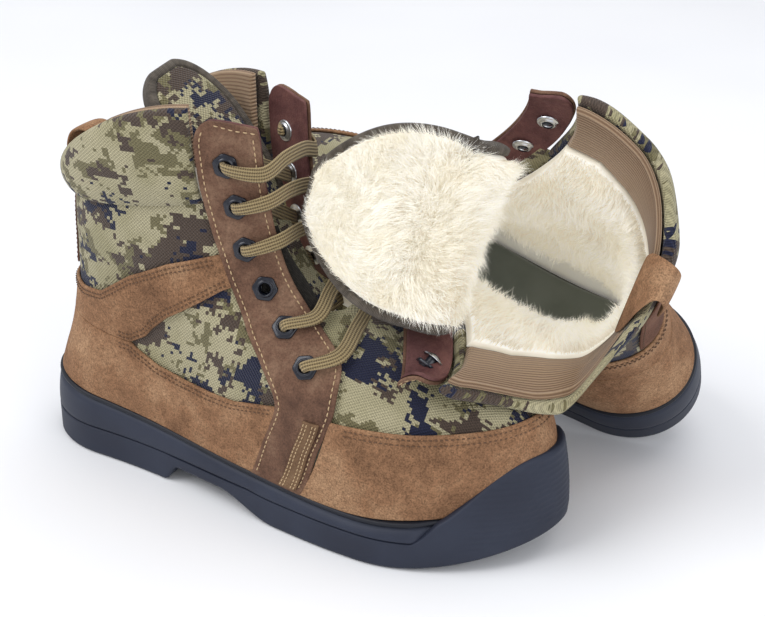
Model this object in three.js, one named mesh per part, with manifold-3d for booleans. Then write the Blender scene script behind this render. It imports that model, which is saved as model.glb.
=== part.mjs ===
// A pair of insulated hunting boots: the right boot stands, the left boot is tipped on its side edge and opened.
// Millimetres, +Z up, +X towards the toe of the standing boot, origin below the middle of the pair.
import * as THREE from 'three'
import Module from 'manifold-3d'

// ---- driving dimensions ----
const SOLE_LENGTH = 300
const OUTSOLE_TOP = 15
const ARCH_LIFT = 10
const TOE_SPRING = 15
const GUARD_TOP = 57
const SHANK_Z = 25.6
const FEATHER = [40, 33, 27, 24, 33]
const PAIR_CENTRE = [170.4, 69.4]
const GAP = 0.5

// Sections of the upper, from the feather line (first) to the rim (last). Each one holds the back seam x and z,
// the front x and z, half the opening at the front, the lift of its middle, and five half widths, heel to front.
const SECTIONS = [
  [6, 40, 289, 33, 0, 0, [34, 34, 42, 48, 43]],
  [10, 51, 290, 52, 0, 0, [35, 36, 42, 48, 43]],
  [15, 66, 282, 74, 0, 0, [35, 36, 41, 45, 42]],
  [19, 85, 248, 90, 0, 0, [34, 35, 39, 41, 38]],
  [21, 102, 212, 101, 0, 0, [33, 35, 37, 36, 33]],
  [22, 118, 183, 112, 7, 0, [33, 35, 36, 33, 29]],
  [23, 134, 161, 132, 14, 0, [34, 37, 37, 34, 27]],
  [25, 150, 150, 163, 18, 8, [35, 38, 38, 34, 26]],
  [27, 166, 146, 206, 21, 19, [36, 40, 40, 35, 27]]
]
const BACK_ROUND = [0.15, 0.17, 0.2, 0.24, 0.26, 0.28, 0.3, 0.34, 0.36]
const FRONT_ROUND = [0.28, 0.3, 0.36, 0.44, 0.5, 0.58, 0.62, 0.62, 0.62]
const TOE_SHIFT = 12

// Layers of the upper, as distances outward from its skin.
const LINING = [-8.8, -4.2]
const CUFF = [-7.4, -4.6]
const STIFFENER = [-2.9, -1.5]
const CLOTH = [-0.7, 0.5]
const OVERLAY = [1.8, 3.2]
const TRIM = [4.1, 5.1]

// Outlines seen from the side: x and z.
const FACING_REAR = [[152, 28], [159, 45], [167, 68], [163, 81], [150, 97], [137, 113], [129, 131], [123, 151],
  [118, 176], [116, 206]]
const FACING_FRONT = [[183, 26], [194, 55], [200, 78], [194, 96], [178, 106], [165, 118], [157, 133], [152, 152],
  [149, 175], [147, 203]]
const EYELETS = [[181, 91], [164, 104], [149, 121], [139, 141], [135, 163], [131, 184]]
const WINDOW_LOW = [[0, 73], [84, 74], [91, 69], [108, 66], [127, 64], [141, 64], [166, 69]]
const WINDOW_HIGH = [[0, 82], [84, 82], [89, 89], [99, 98], [118, 110], [129, 118], [138, 122]]
const COUNTER_TOP = [[0, 97], [38, 97], [55, 101], [76, 116], [100, 128], [127, 137]]
const COLLAR_SEAM = [[0, 146], [59, 149], [81, 152], [100, 155], [135, 161]]
const CUFF_SEAM = [[0, 145], [30, 147], [90, 175], [130, 179]]
const RAND_TOP = [[185, 70], [238, 70], [272, 72], [290, 74]]

// Pose of the opened left boot: turn about Z, tip about X, toe lift, and where its heel stands.
const TIPPED = { turn: 170.3, tip: -42.1, lift: -14, at: [323.1, 148.3, 19.4] }

const HEX = 6
const wasm = await Module()
wasm.setup()

// ---- small helpers ----
const clamp = (x, a = 0, b = 1) => Math.min(b, Math.max(a, x))
const smooth = (x) => clamp(x) ** 2 * (3 - 2 * clamp(x))
const mix = (a, b, k) => a + (b - a) * k

// Catmull-Rom value of a list at a fractional index.
function spline(list, f) {
  const i = clamp(Math.floor(f), 0, list.length - 2)
  const k = f - i
  const p1 = list[i]
  const p2 = list[i + 1]
  const p0 = list[i - 1] ?? 2 * p1 - p2
  const p3 = list[i + 2] ?? 2 * p2 - p1
  return p1 + 0.5 * k * (p2 - p0 + k * (2 * p0 - 5 * p1 + 4 * p2 - p3 + k * (3 * (p1 - p2) + p3 - p0)))
}

// Straight-line height of an outline at x.
function heightAt(line, x) {
  let i = 0
  while (i < line.length - 2 && x > line[i + 1][0]) {
    i += 1
  }
  const [x0, z0] = line[i]
  const [x1, z1] = line[i + 1]
  return mix(z0, z1, clamp((x - x0) / (x1 - x0), i === 0 ? -9 : 0, i === line.length - 2 ? 9 : 1))
}

// ---- the skin of the upper ----
// t runs from the heel (0) to the front (pi), v from the feather line (0) to the rim (1).
function skin(side, t, v) {
  const f = v * (SECTIONS.length - 1)
  const [xb, zb, xf, zf, gap, lift] = [0, 1, 2, 3, 4, 5].map((k) => spline(SECTIONS.map((row) => row[k]), f))
  const widths = [0, 1, 2, 3, 4].map((k) => spline(SECTIONS.map((row) => row[6][k]), f))
  const s = (1 - Math.cos(t)) / 2
  const back = spline(BACK_ROUND, f)
  const front = spline(FRONT_ROUND, f)
  const rise = s < back ? Math.sin(t) * Math.sqrt((2 - s / back) * s / back) / Math.max(Math.sin(t), 1e-9) : 1
  const q = clamp((s - 1 + front) / front)
  const open = clamp(gap, 0, 60) / widths[4]
  const fall = Math.sqrt(Math.max(0, 1 - q * q * (1 - open * open)))
  const x = mix(xb, xf, s)
  const shift = TOE_SHIFT * clamp((x - 150) / 150) ** 2 * (1 - smooth((v - 0.3) / 0.3))
  const dip = (featherAt(s) - mix(FEATHER[0], FEATHER[4], s)) * (1 - smooth(v / 0.25))
  return [x, side * spline(widths, 4 * s) * rise * fall + shift, mix(zb, zf, s) + lift * 4 * s * (1 - s) + dip]
}

// A point at a distance outward from the skin.
function skinOut(side, t, v, out) {
  const d = 0.004
  const t0 = Math.max(t - d, 0.0001)
  const t1 = Math.min(t + d, Math.PI - 0.0001)
  const v0 = Math.max(v - d, 0)
  const v1 = Math.min(v + d, 1)
  const a = new THREE.Vector3(...skin(side, t1, v)).sub(new THREE.Vector3(...skin(side, t0, v)))
  const b = new THREE.Vector3(...skin(side, t, v1)).sub(new THREE.Vector3(...skin(side, t, v0)))
  const n = a.cross(b).multiplyScalar(side)
  n.z *= smooth(v / 0.15)
  if (t < 0.02 || (t > Math.PI - 0.02 && v < 0.6)) {
    n.y = 0
  }
  n.normalize().multiplyScalar(-out)
  return new THREE.Vector3(...skin(side, t, v)).add(n)
}

// v where the skin at t has the height of an outline.
function rowAt(t, line) {
  let low = 0
  let high = 1
  for (let i = 0; i < 26; i += 1) {
    const v = (low + high) / 2
    const [x, , z] = skin(1, t, v)
    if (z < heightAt(line, x)) {
      low = v
    } else {
      high = v
    }
  }
  return (low + high) / 2
}

// t and v of a side-view point.
function locate([x, z]) {
  let low = 0
  let high = Math.PI
  const level = [[-999, z], [999, z]]
  for (let i = 0; i < 26; i += 1) {
    const t = (low + high) / 2
    if (skin(1, t, rowAt(t, level))[0] < x) {
      low = t
    } else {
      high = t
    }
  }
  const t = (low + high) / 2
  return [t, rowAt(t, level)]
}

// ---- closed solids from a grid with an inner face (k = 0) and an outer face (k = 1) ----
function shell(nu, nv, point, keep = () => true) {
  const row = nv + 1
  const count = (nu + 1) * row
  const at = []
  for (const k of [0, 1]) {
    for (let i = 0; i <= nu; i += 1) {
      for (let j = 0; j <= nv; j += 1) {
        at.push(point(i / nu, j / nv, k))
      }
    }
  }
  const quads = []
  const has = (i, j) => i >= 0 && j >= 0 && i < nu && j < nv && keep(i, j)
  const wall = (a, b) => quads.push([a, b, b + count, a + count])
  for (let i = 0; i < nu; i += 1) {
    for (let j = 0; j < nv; j += 1) {
      if (!has(i, j)) {
        continue
      }
      const [a, b, c, d] = [i * row + j, (i + 1) * row + j, (i + 1) * row + j + 1, i * row + j + 1]
      quads.push([a + count, b + count, c + count, d + count], [a, d, c, b])
      if (!has(i, j - 1)) wall(a, b)
      if (!has(i + 1, j)) wall(b, c)
      if (!has(i, j + 1)) wall(c, d)
      if (!has(i - 1, j)) wall(d, a)
    }
  }
  const used = new Map()
  const positions = []
  const pick = (n) => {
    if (!used.has(n)) {
      used.set(n, positions.length / 3)
      positions.push(...at[n])
    }
    return used.get(n)
  }
  const index = quads.flatMap(([a, b, c, d]) => [pick(a), pick(b), pick(c), pick(a), pick(c), pick(d)])
  return facingOut(positions, index)
}

// A geometry whose triangles face out, whichever way the grid ran.
function facingOut(positions, index) {
  let volume = 0
  const p = (n) => new THREE.Vector3().fromArray(positions, 3 * n)
  for (let i = 0; i < index.length; i += 3) {
    volume += p(index[i]).dot(p(index[i + 1]).cross(p(index[i + 2])))
  }
  if (volume < 0) {
    for (let i = 0; i < index.length; i += 3) {
      [index[i + 1], index[i + 2]] = [index[i + 2], index[i + 1]]
    }
  }
  const geometry = new THREE.BufferGeometry()
  geometry.setAttribute('position', new THREE.Float32BufferAttribute(positions, 3))
  geometry.setIndex(index)
  return geometry
}

// Geometry to a manifold solid and back, for joins and cuts.
function solid(geometry) {
  const positions = geometry.getAttribute('position').array
  const index = geometry.getIndex().array
  return new wasm.Manifold(new wasm.Mesh({
    numProp: 3,
    vertProperties: new Float32Array(positions),
    triVerts: new Uint32Array(index)
  }))
}

function unsolid(body) {
  const mesh = body.getMesh()
  return facingOut([...mesh.vertProperties], [...mesh.triVerts])
}

// Two-part positions along a strip that wraps the heel or the toe: the sign of u gives the side.
const across = (u) => [u < 0.5 ? -1 : 1, Math.abs(2 * u - 1)]

// A strip wrapping the heel, between rows of outlines, out to an edge given as t over v; rows split evenly.
function heelWrap(nu, nv, rows, layer, edge, keep) {
  return shell(nu, nv, (u, w, k) => {
    const [side, run] = across(u)
    const f = w * (rows.length - 1)
    const i = Math.min(Math.floor(f), rows.length - 2)
    let v = w
    let t = 0
    for (let step = 0; step < 5; step += 1) {
      t = run * edge(v)
      v = mix(rowAt(t, rows[i]), rowAt(t, rows[i + 1]), f - i)
    }
    return skinOut(side, t, v, layerAt(layer, k, w, run))
  }, keep)
}

// t over v along the rear edge of the facing, moved forward by a step in t.
function rearEdge(step) {
  const line = FACING_REAR.map(locate)
  return (v) => {
    let low = 0
    let high = line.length - 1
    for (let i = 0; i < 20; i += 1) {
      const f = (low + high) / 2
      if (spline(line.map((p) => p[1]), f) < v) {
        low = f
      } else {
        high = f
      }
    }
    return spline(line.map((p) => p[0]), low) + step
  }
}

const fixedEdge = (point) => () => locate(point)[0]

// A strip wrapping the toe, between two rows.
function toeWrap(nu, nv, rows, layer) {
  const ends = rows.map(([end]) => locate(end)[0])
  return shell(nu, nv, (u, w, k) => {
    const [side, run] = across(u)
    const t = mix(Math.PI, mix(ends[0], ends[1], w), run)
    const v = mix(rowAt(t, rows[0][1]), rowAt(t, rows[1][1]), w)
    return skinOut(side, t, v, layerAt(layer, k, w, run))
  })
}

// A strip on one side between a rear and a front outline.
function sideStrip(side, nu, nv, rear, front, layer) {
  const a = rear.map(locate)
  const b = front.map(locate)
  const along = (list, w, k) => spline(list.map((p) => p[k]), w * (list.length - 1))
  return shell(nu, nv, (u, w, k) => {
    const t = mix(along(a, w, 0), along(b, w, 0), u)
    const v = mix(along(a, w, 1), along(b, w, 1), u)
    return skinOut(side, Math.min(t, Math.PI - 0.001), v, layerAt(layer, k, w, u))
  })
}

const layerAt = (layer, k, w, run) => (typeof layer === 'function' ? layer(k, w, run) : layer[k])
const level = (z) => [[-999, z], [999, z]]
const shifted = (line, dx, dz) => line.map(([x, z]) => [x + dx, z + dz])
const BASE_ROW = [[-999, -99], [999, -99]]
const RIM_ROW = [[-999, 999], [999, 999]]

// ---- the sole unit ----
const featherAt = (s) => spline(FEATHER, 4 * s)

// Half width of the sole outline at its length fraction.
function soleHalf(s) {
  const w = spline([39.3, 38.8, 47.4, 54.8, 49.5], 4 * s)
  const rise = s < 0.15 ? Math.sqrt((2 - s / 0.15) * s / 0.15) : 1
  const q = clamp((s - 0.72) / 0.28)
  return w * rise * Math.sqrt(Math.max(0, 1 - q * q))
}

const soleShift = (x) => TOE_SHIFT * clamp((x - 150) / 150) ** 2

function soleFloor(x) {
  const arch = ARCH_LIFT * smooth((x - 92) / 9) * (1 - smooth((x - 130) / 36))
  return arch + TOE_SPRING * clamp((x - 225) / 75) ** 2
}

// A slab over the footprint, drawn in from its outline, between a floor and a top given over x.
function slab(nu, nv, inset, floor, top, from = 0, to = SOLE_LENGTH) {
  const t0 = Math.acos(1 - 2 * clamp(from / SOLE_LENGTH, 0.0036, 1))
  const t1 = Math.acos(1 - 2 * clamp(to / SOLE_LENGTH, 0, 0.9964))
  return shell(nu, nv, (u, w, k) => {
    const s = (1 - Math.cos(mix(t0, t1, u))) / 2
    const x = inset(s * SOLE_LENGTH) * (1 - 2 * s) + s * SOLE_LENGTH
    const y = soleShift(x) + (2 * w - 1) * (soleHalf(s) - inset(s * SOLE_LENGTH))
    return new THREE.Vector3(x, y, k === 0 ? floor(x) : top(x))
  })
}

// A slab inside the upper, between two heights above the feather line.
function insideSlab(low, high) {
  const inset = (x) => mix(15.3, 24, smooth((x - 170) / 60))
  const lift = (h) => (x) => featherAt(x / SOLE_LENGTH) + h
  return slab(14, 2, inset, lift(low), lift(high))
}

function outsole() {
  const base = slab(24, 4, () => 0, soleFloor, (x) => OUTSOLE_TOP + soleFloor(Math.max(x, 150)) * 0.3)
  const guardTop = (x) => mix(24, GUARD_TOP, smooth((x - 246) / 50))
  const guard = shell(14, 2, (u, w, k) => {
    const [side, run] = across(u)
    const s = 1 - 0.145 * run * run
    const x = s * SOLE_LENGTH - (1 - k) * 4.2 * (1 - run * 0.8)
    const y = soleShift(s * SOLE_LENGTH) + side * Math.max(soleHalf(s) - (1 - k) * 4.2 * run ** 0.5, 0)
    return new THREE.Vector3(x - 3 * w * (1 - run), y, mix(13, guardTop(s * SOLE_LENGTH), w))
  })
  return unsolid(solid(base).add(solid(guard)))
}

function midsole() {
  const inset = (x) => 0.4 + 4.6 * smooth((x - 242) / 8)
  const bottom = (x) => OUTSOLE_TOP + 0.5 + soleFloor(Math.max(x, 150)) * 0.3
  const body = slab(20, 3, inset, bottom, (x) => featherAt(x / SOLE_LENGTH) - GAP)
  const pocket = new THREE.BoxGeometry(71, 17, 12).translate(97, 0, SHANK_Z + 4.6)
  return unsolid(solid(body).subtract(solid(weld(pocket))))
}

// Box geometry with shared corners.
function weld(box) {
  const positions = box.getAttribute('position').array
  const seen = new Map()
  const kept = []
  const remap = []
  for (let i = 0; i < positions.length; i += 3) {
    const key = [positions[i], positions[i + 1], positions[i + 2]].map((c) => c.toFixed(4)).join()
    if (!seen.has(key)) {
      seen.set(key, kept.length / 3)
      kept.push(positions[i], positions[i + 1], positions[i + 2])
    }
    remap.push(seen.get(key))
  }
  return facingOut(kept, [...box.getIndex().array].map((n) => remap[n]))
}

// ---- upper pieces ----
function counter() {
  const rows = [BASE_ROW, WINDOW_LOW, WINDOW_HIGH, COUNTER_TOP]
  return heelWrap(24, 6, rows, OVERLAY, rearEdge(-0.022), (i, j) => j < 2 || j > 3 || Math.abs(i - 11.5) < 7)
}

function collar() {
  const rows = [shifted(COLLAR_SEAM, 0, 3.6), RIM_ROW]
  const swell = (w, run) => 7 * Math.sin(Math.PI * w) ** 0.7 * (1 - run ** 6 * 0.6) * mix(0.3, 1, smooth(run * 4))
  return heelWrap(24, 6, rows, (k, w, run) => (k === 0 ? -2.4 : 1.2 + swell(w, run)), rearEdge(-0.03))
}

// The lace holes of one side: centre and outward direction of each.
function eyeletFrames(side) {
  return EYELETS.map((p) => {
    const [t, v] = locate(p)
    const base = skinOut(side, t, v, 0)
    return [base, skinOut(side, t, v, 1).sub(base).normalize()]
  })
}

// A prism on an eyelet's axis, from one height above the skin to another.
function plug([centre, axis], radius, low, high, sides) {
  const prism = new THREE.CylinderGeometry(radius, radius, high - low, sides, 1)
  prism.deleteAttribute('normal')
  prism.deleteAttribute('uv')
  const turn = new THREE.Quaternion().setFromUnitVectors(new THREE.Vector3(0, 1, 0), axis)
  prism.translate(0, (high + low) / 2, 0)
  prism.applyQuaternion(turn)
  prism.translate(centre.x, centre.y, centre.z)
  return solid(weld(prism))
}

function facing(side) {
  let body = solid(sideStrip(side, 2, 12, FACING_REAR, FACING_FRONT, OVERLAY))
  for (const frame of eyeletFrames(side)) {
    body = body.subtract(plug(frame, 4.8, -3, 6, HEX))
  }
  return unsolid(body)
}

function eyeletRow(side) {
  const rear = [[172, 80], [156, 99], [141, 119], [132, 140], [127, 163], [124, 190]]
  const front = [[190, 80], [170, 101], [155, 122], [147, 144], [143, 165], [139, 190]]
  let body = solid(sideStrip(side, 2, 6, rear, front, [-2.6, -1.4]))
  const frames = eyeletFrames(side)
  for (const frame of frames) {
    body = body.add(plug(frame, 3.7, -3.2, 5.6, HEX)).add(plug(frame, 6.4, 5.2, 6.7, HEX))
  }
  for (const frame of frames) {
    body = body.subtract(plug(frame, 2.6, -3, 8, HEX))
  }
  return unsolid(body)
}

// ---- tongue: a plate along a path; its width runs along a direction given at even steps of the path ----
const vectors = (list) => list.map((p) => new THREE.Vector3(...p))

function plateFrame({ path, across }) {
  const curve = new THREE.CatmullRomCurve3(vectors(path))
  const length = curve.getLength()
  const part = (w, k) => spline(across.map((p) => p[k]), w * (across.length - 1))
  const wide = (w) => new THREE.Vector3(part(w, 0), part(w, 1), part(w, 2))
  return { curve, length, wide }
}

// A point on a plate: sideways distance, fraction along, height above.
function onPlate({ curve, wide }, bend, side, w, height) {
  const along = curve.getTangentAt(clamp(w))
  const up = along.clone().cross(wide(clamp(w))).normalize()
  const cross = up.clone().cross(along).normalize()
  return curve.getPointAt(clamp(w)).addScaledVector(cross, side).addScaledVector(up, height - bend * side * side)
}

// Half width of a plate, rounded off over its last stretch.
function halfAt({ half, cap }, w, length) {
  const q = clamp((w - 1 + cap / length) / (cap / length)) * 0.96
  return spline(half, w * (half.length - 1)) * Math.sqrt(1 - q * q)
}

// Height of a layer: an inside-out tongue has its sheepskin where the cloth would be.
const faced = (tongue, height) => (tongue.insideOut ? -4 - height : height)

function plate(tongue, nu, nv, low, high) {
  const frame = plateFrame(tongue)
  return shell(nu, nv, (u, w, k) => {
    const height = faced(tongue, k === 0 ? low : high)
    return onPlate(frame, tongue.bend, (2 * u - 1) * halfAt(tongue, w, frame.length), w, height)
  })
}

// The outline of a plate from its start up one side, over its end and down the other: sideways and along, in mm.
function plateOutline(tongue, length, start, q) {
  const end = halfAt(tongue, 1, length)
  if (Math.abs(q - 0.5) < 0.05) {
    return [end * (0.5 - q) / 0.05, length]
  }
  const run = start + (1 - start) * Math.sin(Math.min(q, 1 - q) / 0.45 * Math.PI / 2)
  return [Math.sign(0.5 - q) * halfAt(tongue, run, length), run * length]
}

// The bound edge of a plate, drawn outward from its outline.
function plateBinding(tongue, low, high, start) {
  const frame = plateFrame(tongue)
  const outline = (q) => plateOutline(tongue, frame.length, start, q)
  return shell(26, 1, (q, w, k) => {
    const [a0, b0] = outline(Math.max(q - 0.03, 0))
    const [a1, b1] = outline(Math.min(q + 0.03, 1))
    const far = Math.hypot(a1 - a0, b1 - b0)
    const [a, b] = outline(q)
    const out = 2.05 + 2.1 * k
    const along = b + out * (a0 - a1) / far
    const past = frame.curve.getTangentAt(1).multiplyScalar(Math.max(0, along - frame.length))
    const side = a + out * (b1 - b0) / far
    return onPlate(frame, tongue.bend, side, along / frame.length, mix(low, high, w)).add(past)
  })
}

const STANDING_TONGUE = {
  path: [[172, 0, 106], [157, 0, 120], [142, 0, 141], [127, 0, 168], [106, -3, 194], [82, -5, 214]],
  across: [[0, -1, 0], [-0.1, -1, 0], [-0.3, -1, 0]],
  half: [6, 10, 12, 15, 19, 25],
  bend: 0.006,
  cap: 38,
  insideOut: false
}

const OPENED_TONGUE = {
  path: [[178, 72, 132], [200, 52, 145], [222, 35, 151], [238, 19, 154], [240, 6, 157], [227, 0, 161], [197, -4, 165.5],
    [168, -6, 168.5]],
  across: [[-0.13, -0.73, -0.67], [-0.1, -0.62, -0.76], [-0.06, -0.5, -0.86], [-0.02, -0.37, -0.93]],
  half: [9, 17, 30, 39, 42, 43, 42, 36],
  bend: 0.001,
  cap: 55,
  insideOut: true
}

// The lace of the standing boot: a flat ribbon that runs zigzag over the lace holes and hangs down the inner side.
const LACE = { width: 8, thick: 1.6 }
const LACE_HOLES = [[-1, 0], [1, 1], [-1, 1], [1, 2], [-1, 3], [1, 3], [-1, 4], [1, 4], [-1, 5], [1, 5]]
const LACE_TAIL = [[118, 50, 186], [106, 56, 163], [97, 57, 120], [92, 57, 70], [89, 62, 22], [80, 68, 5],
  [62, 74, 3]]

// A point of the lace over the skin of the two flaps; q runs from the inner flap (-1) to the outer flap (1).
function overFlaps(q, v) {
  const edge = Math.PI - 0.02
  const side = q < 0 ? -1 : 1
  const rim = skinOut(side, edge, Math.max(v, 0.61), 10)
  return rim.setY(rim.y * Math.abs(q))
}

function laceRoute() {
  const points = []
  const wide = []
  const put = (p, direction) => {
    points.push(p)
    wide.push(direction)
  }
  const last = LACE_HOLES.length - 1
  LACE_HOLES.forEach(([side, hole], n) => {
    const frames = eyeletFrames(side)
    const [centre, axis] = frames[hole]
    const shaft = frames[Math.min(hole + 1, 5)][0].clone().sub(frames[Math.max(hole - 1, 0)][0]).normalize()
    const aside = shaft.clone().cross(axis).normalize().multiplyScalar(side)
    const heights = n === 0 ? [13.1] : n === last ? [9.8] : [9.8, 11.4, 13.1]
    for (const h of heights) {
      put(centre.clone().addScaledVector(axis, h).addScaledVector(aside, h === 11.4 ? -3 : 0), shaft)
    }
    const next = LACE_HOLES[n + 1]
    if (next) {
      const v0 = locate(EYELETS[hole])[1]
      const v1 = locate(EYELETS[next[1]])[1]
      put(overFlaps(side, mix(v0, v1, 0.35) + 0.03), shaft)
      put(overFlaps(-side, mix(v0, v1, 0.65) + 0.03), shaft)
    }
  })
  LACE_TAIL.forEach((p) => put(new THREE.Vector3(...p), new THREE.Vector3(1, 0.1, 0)))
  return [points, wide]
}

function lace() {
  const [points, wide] = laceRoute()
  const curve = new THREE.CatmullRomCurve3(points, false, 'centripetal')
  const count = 3 * (points.length - 1)
  return shell(count, 1, (u, w, k) => {
    const along = curve.getTangent(u)
    const f = u * (wide.length - 1)
    const i = Math.min(Math.floor(f), wide.length - 2)
    const cross = wide[i].clone().lerp(wide[i + 1], f - i)
    cross.addScaledVector(along, -cross.dot(along)).normalize()
    const up = along.clone().cross(cross)
    const middle = curve.getPoint(u).addScaledVector(cross, (w - 0.5) * LACE.width)
    return middle.addScaledVector(up, (k - 0.5) * LACE.thick)
  })
}

// ---- one boot ----
function tongueParts(tongue) {
  return {
    tongue_shell: [plate(tongue, 6, 18, 0, 2), 0x8b8565, 0.9, 0],
    tongue_fleece: [plate(tongue, 6, 18, -6, -0.9), 0xf1eddf, 0.95, 0],
    tongue_binding: [plateBinding(tongue, -6.5, 2.6, 0.45), 0x6b6358, 0.8, 0]
  }
}

function bootParts() {
  const parts = {
    outsole: [outsole(), 0x2c3138, 0.75, 0],
    midsole: [midsole(), 0x30353d, 0.7, 0],
    shank: [weld(new THREE.BoxGeometry(70, 16, 2).translate(97, 0, SHANK_Z)), 0x9a9fa5, 0.35, 1],
    insole_board: [insideSlab(0.4, 2.2), 0x8a6f50, 0.9, 0],
    footbed: [insideSlab(2.7, 9), 0xd9d4c4, 0.95, 0],
    heel_stiffener: [heelWrap(14, 2, [level(41), level(82)], STIFFENER, fixedEdge([80, 60])), 0x2f2b28, 0.7, 0],
    toe_puff: [toeWrap(12, 2, [[[232, 34], level(35)], [[240, 66], level(68)]], STIFFENER), 0x2f2b28, 0.7, 0],
    vamp: [toeWrap(20, 6, [[[203, 67], shifted(RAND_TOP, 0, -2)], [[198, 99], level(111)]], CLOTH), 0x8b8565, 0.9, 0],
    vamp_lining: [toeWrap(14, 5, [[[178, 26], BASE_ROW], [[190, 92], level(107)]], LINING), 0xe9e4d3, 0.95, 0],
    toe_rand: [toeWrap(20, 3, [[[184, 26], BASE_ROW], [[200, 70], RAND_TOP]], OVERLAY), 0x9b6c47, 0.9, 0],
    quarter: [heelWrap(24, 10, [BASE_ROW, COLLAR_SEAM], CLOTH, rearEdge(0.02)), 0x8b8565, 0.9, 0],
    heel_counter: [counter(), 0x9b6c47, 0.9, 0],
    back_strip: [heelWrap(4, 3, [level(101), level(143)], OVERLAY, fixedEdge([25, 120])), 0x6d4630, 0.8, 0],
    collar_pad: [collar(), 0x8b8565, 0.9, 0],
    fleece_lining: [heelWrap(24, 12, [BASE_ROW, CUFF_SEAM], LINING, rearEdge(-0.05)), 0xf1eddf, 0.95, 0],
    knit_cuff: [heelWrap(24, 3, [shifted(CUFF_SEAM, 0, 1.5), RIM_ROW], CUFF, rearEdge(-0.05)), 0xa38a6b, 0.9, 0],
    pull_tab: [pullTab(), 0x9b6c47, 0.9, 0]
  }
  for (const [side, name] of [[-1, 'outer'], [1, 'inner']]) {
    parts[`facing_${name}`] = [facing(side), 0x6f4a36, 0.6, 0]
    parts[`strap_${name}`] = [sideStrip(side, 1, 4, [[172, 31], [180, 49], [186, 66]], [[180, 31], [187, 49], [193, 66]],
      TRIM), 0x7a5a42, 0.7, 0]
    parts[`eyelets_${name}`] = [eyeletRow(side), 0x20242c, 0.3, 1]
  }
  return parts
}

function pullTab() {
  const path = [[19.6, 150], [18.6, 160], [19, 168], [22.5, 174], [30, 176.2], [37, 173], [39.6, 166]]
  const curve = new THREE.CatmullRomCurve3(path.map(([x, z]) => new THREE.Vector3(x, 0, z)))
  return shell(10, 1, (u, w, k) => {
    const along = curve.getTangentAt(u)
    const out = new THREE.Vector3(-along.z, 0, along.x)
    return curve.getPointAt(u).addScaledVector(out, k * 2.4).add(new THREE.Vector3(0, (2 * w - 1) * 11, 0))
  })
}

// ---- the opened boot: its shaft is spread from the ankle up, and the boot is mirrored, tipped and set down ----
const near = (g) => [-33 * g * g, 72 * g ** 2.6, 26 * smooth((g - 0.4) / 0.5) - 50 * smooth(g / 0.25)]
const far = (g) => [-27 * g, -33 * g ** 1.8, -8 * g]

// The rim rolls outward over its last stretch: how much, and how far on the near and on the far side.
const rimHeight = (x) => {
  const s = clamp((x - 27) / 119)
  return 166 + 40 * s + 76 * s * (1 - s)
}
const ROLL = { reach: 64, near: [0, 17, -3], far: [0, -6, 0], lip: 30, over: [0, 10, -3] }

function spread(p) {
  const u = smooth((p.z - 100) / 100)
  const roll = smooth((p.z - rimHeight(p.x)) / ROLL.reach + 1)
  const g = clamp((p.x - 20) / 127)
  const side = smooth((p.y + 12) / 24)
  const a = near(g)
  const b = far(g)
  const bend = mix(1, 1.8, side * g)
  const d = a.map((value, k) => mix(b[k], value, side) * u ** bend)
  const fade = smooth(g / 0.25) * smooth((1.05 - g) / 0.4)
  const lip = clamp((p.z - rimHeight(p.x)) / ROLL.lip + 1) ** 2 * side
  const r = ROLL.near.map((value, k) => (mix(ROLL.far[k], value, side) * roll + ROLL.over[k] * lip) * fade)
  return p.set(p.x + d[0] + r[0] - 12 * u, p.y + d[1] + r[1], p.z + d[2] + r[2])
}

function tip(p) {
  const [a, b, c] = [TIPPED.tip, TIPPED.lift, TIPPED.turn].map(THREE.MathUtils.degToRad)
  const q = new THREE.Euler(a, b, c, 'ZXY')
  return p.applyEuler(q).add(new THREE.Vector3(...TIPPED.at))
}

function place(geometry, change) {
  const positions = geometry.getAttribute('position')
  const points = []
  for (let i = 0; i < positions.count; i += 1) {
    points.push(...change(new THREE.Vector3().fromBufferAttribute(positions, i)))
  }
  return facingOut(points, [...geometry.getIndex().array])
}

function add(group, name, [geometry, color, roughness, metalness], change) {
  const placed = place(geometry, change).toNonIndexed()
  placed.translate(-PAIR_CENTRE[0], -PAIR_CENTRE[1], 0)
  placed.computeVertexNormals()
  const mesh = new THREE.Mesh(placed, new THREE.MeshStandardMaterial({ color, roughness, metalness }))
  mesh.name = name
  group.add(mesh)
}

const group = new THREE.Group()
const stand = (p) => p
const open = (p) => tip(spread(p.set(p.x, -p.y, p.z)))
for (const [name, part] of Object.entries(bootParts())) {
  add(group, `right_${name}`, part, stand)
  add(group, `left_${name}`, part, open)
}
for (const [name, part] of Object.entries(tongueParts(STANDING_TONGUE))) {
  add(group, `right_${name}`, part, stand)
}
for (const [name, part] of Object.entries(tongueParts(OPENED_TONGUE))) {
  add(group, `left_${name}`, part, stand)
}
add(group, 'right_lace', [lace(), 0x8f7d58, 0.9, 0], stand)

export default group
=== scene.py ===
# %% [markdown]
# # A pair of insulated hunting boots
# One boot stands, the other is tipped over and opened. Each boot is made as a cobbler makes it: a smooth skin
# stands for the last, and every panel is a patch of that skin, laid a little inside or outside of it.
# Lengths inside the formulas are millimetres in the standing boot's own frame; they become metres at the end.

import math

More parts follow.
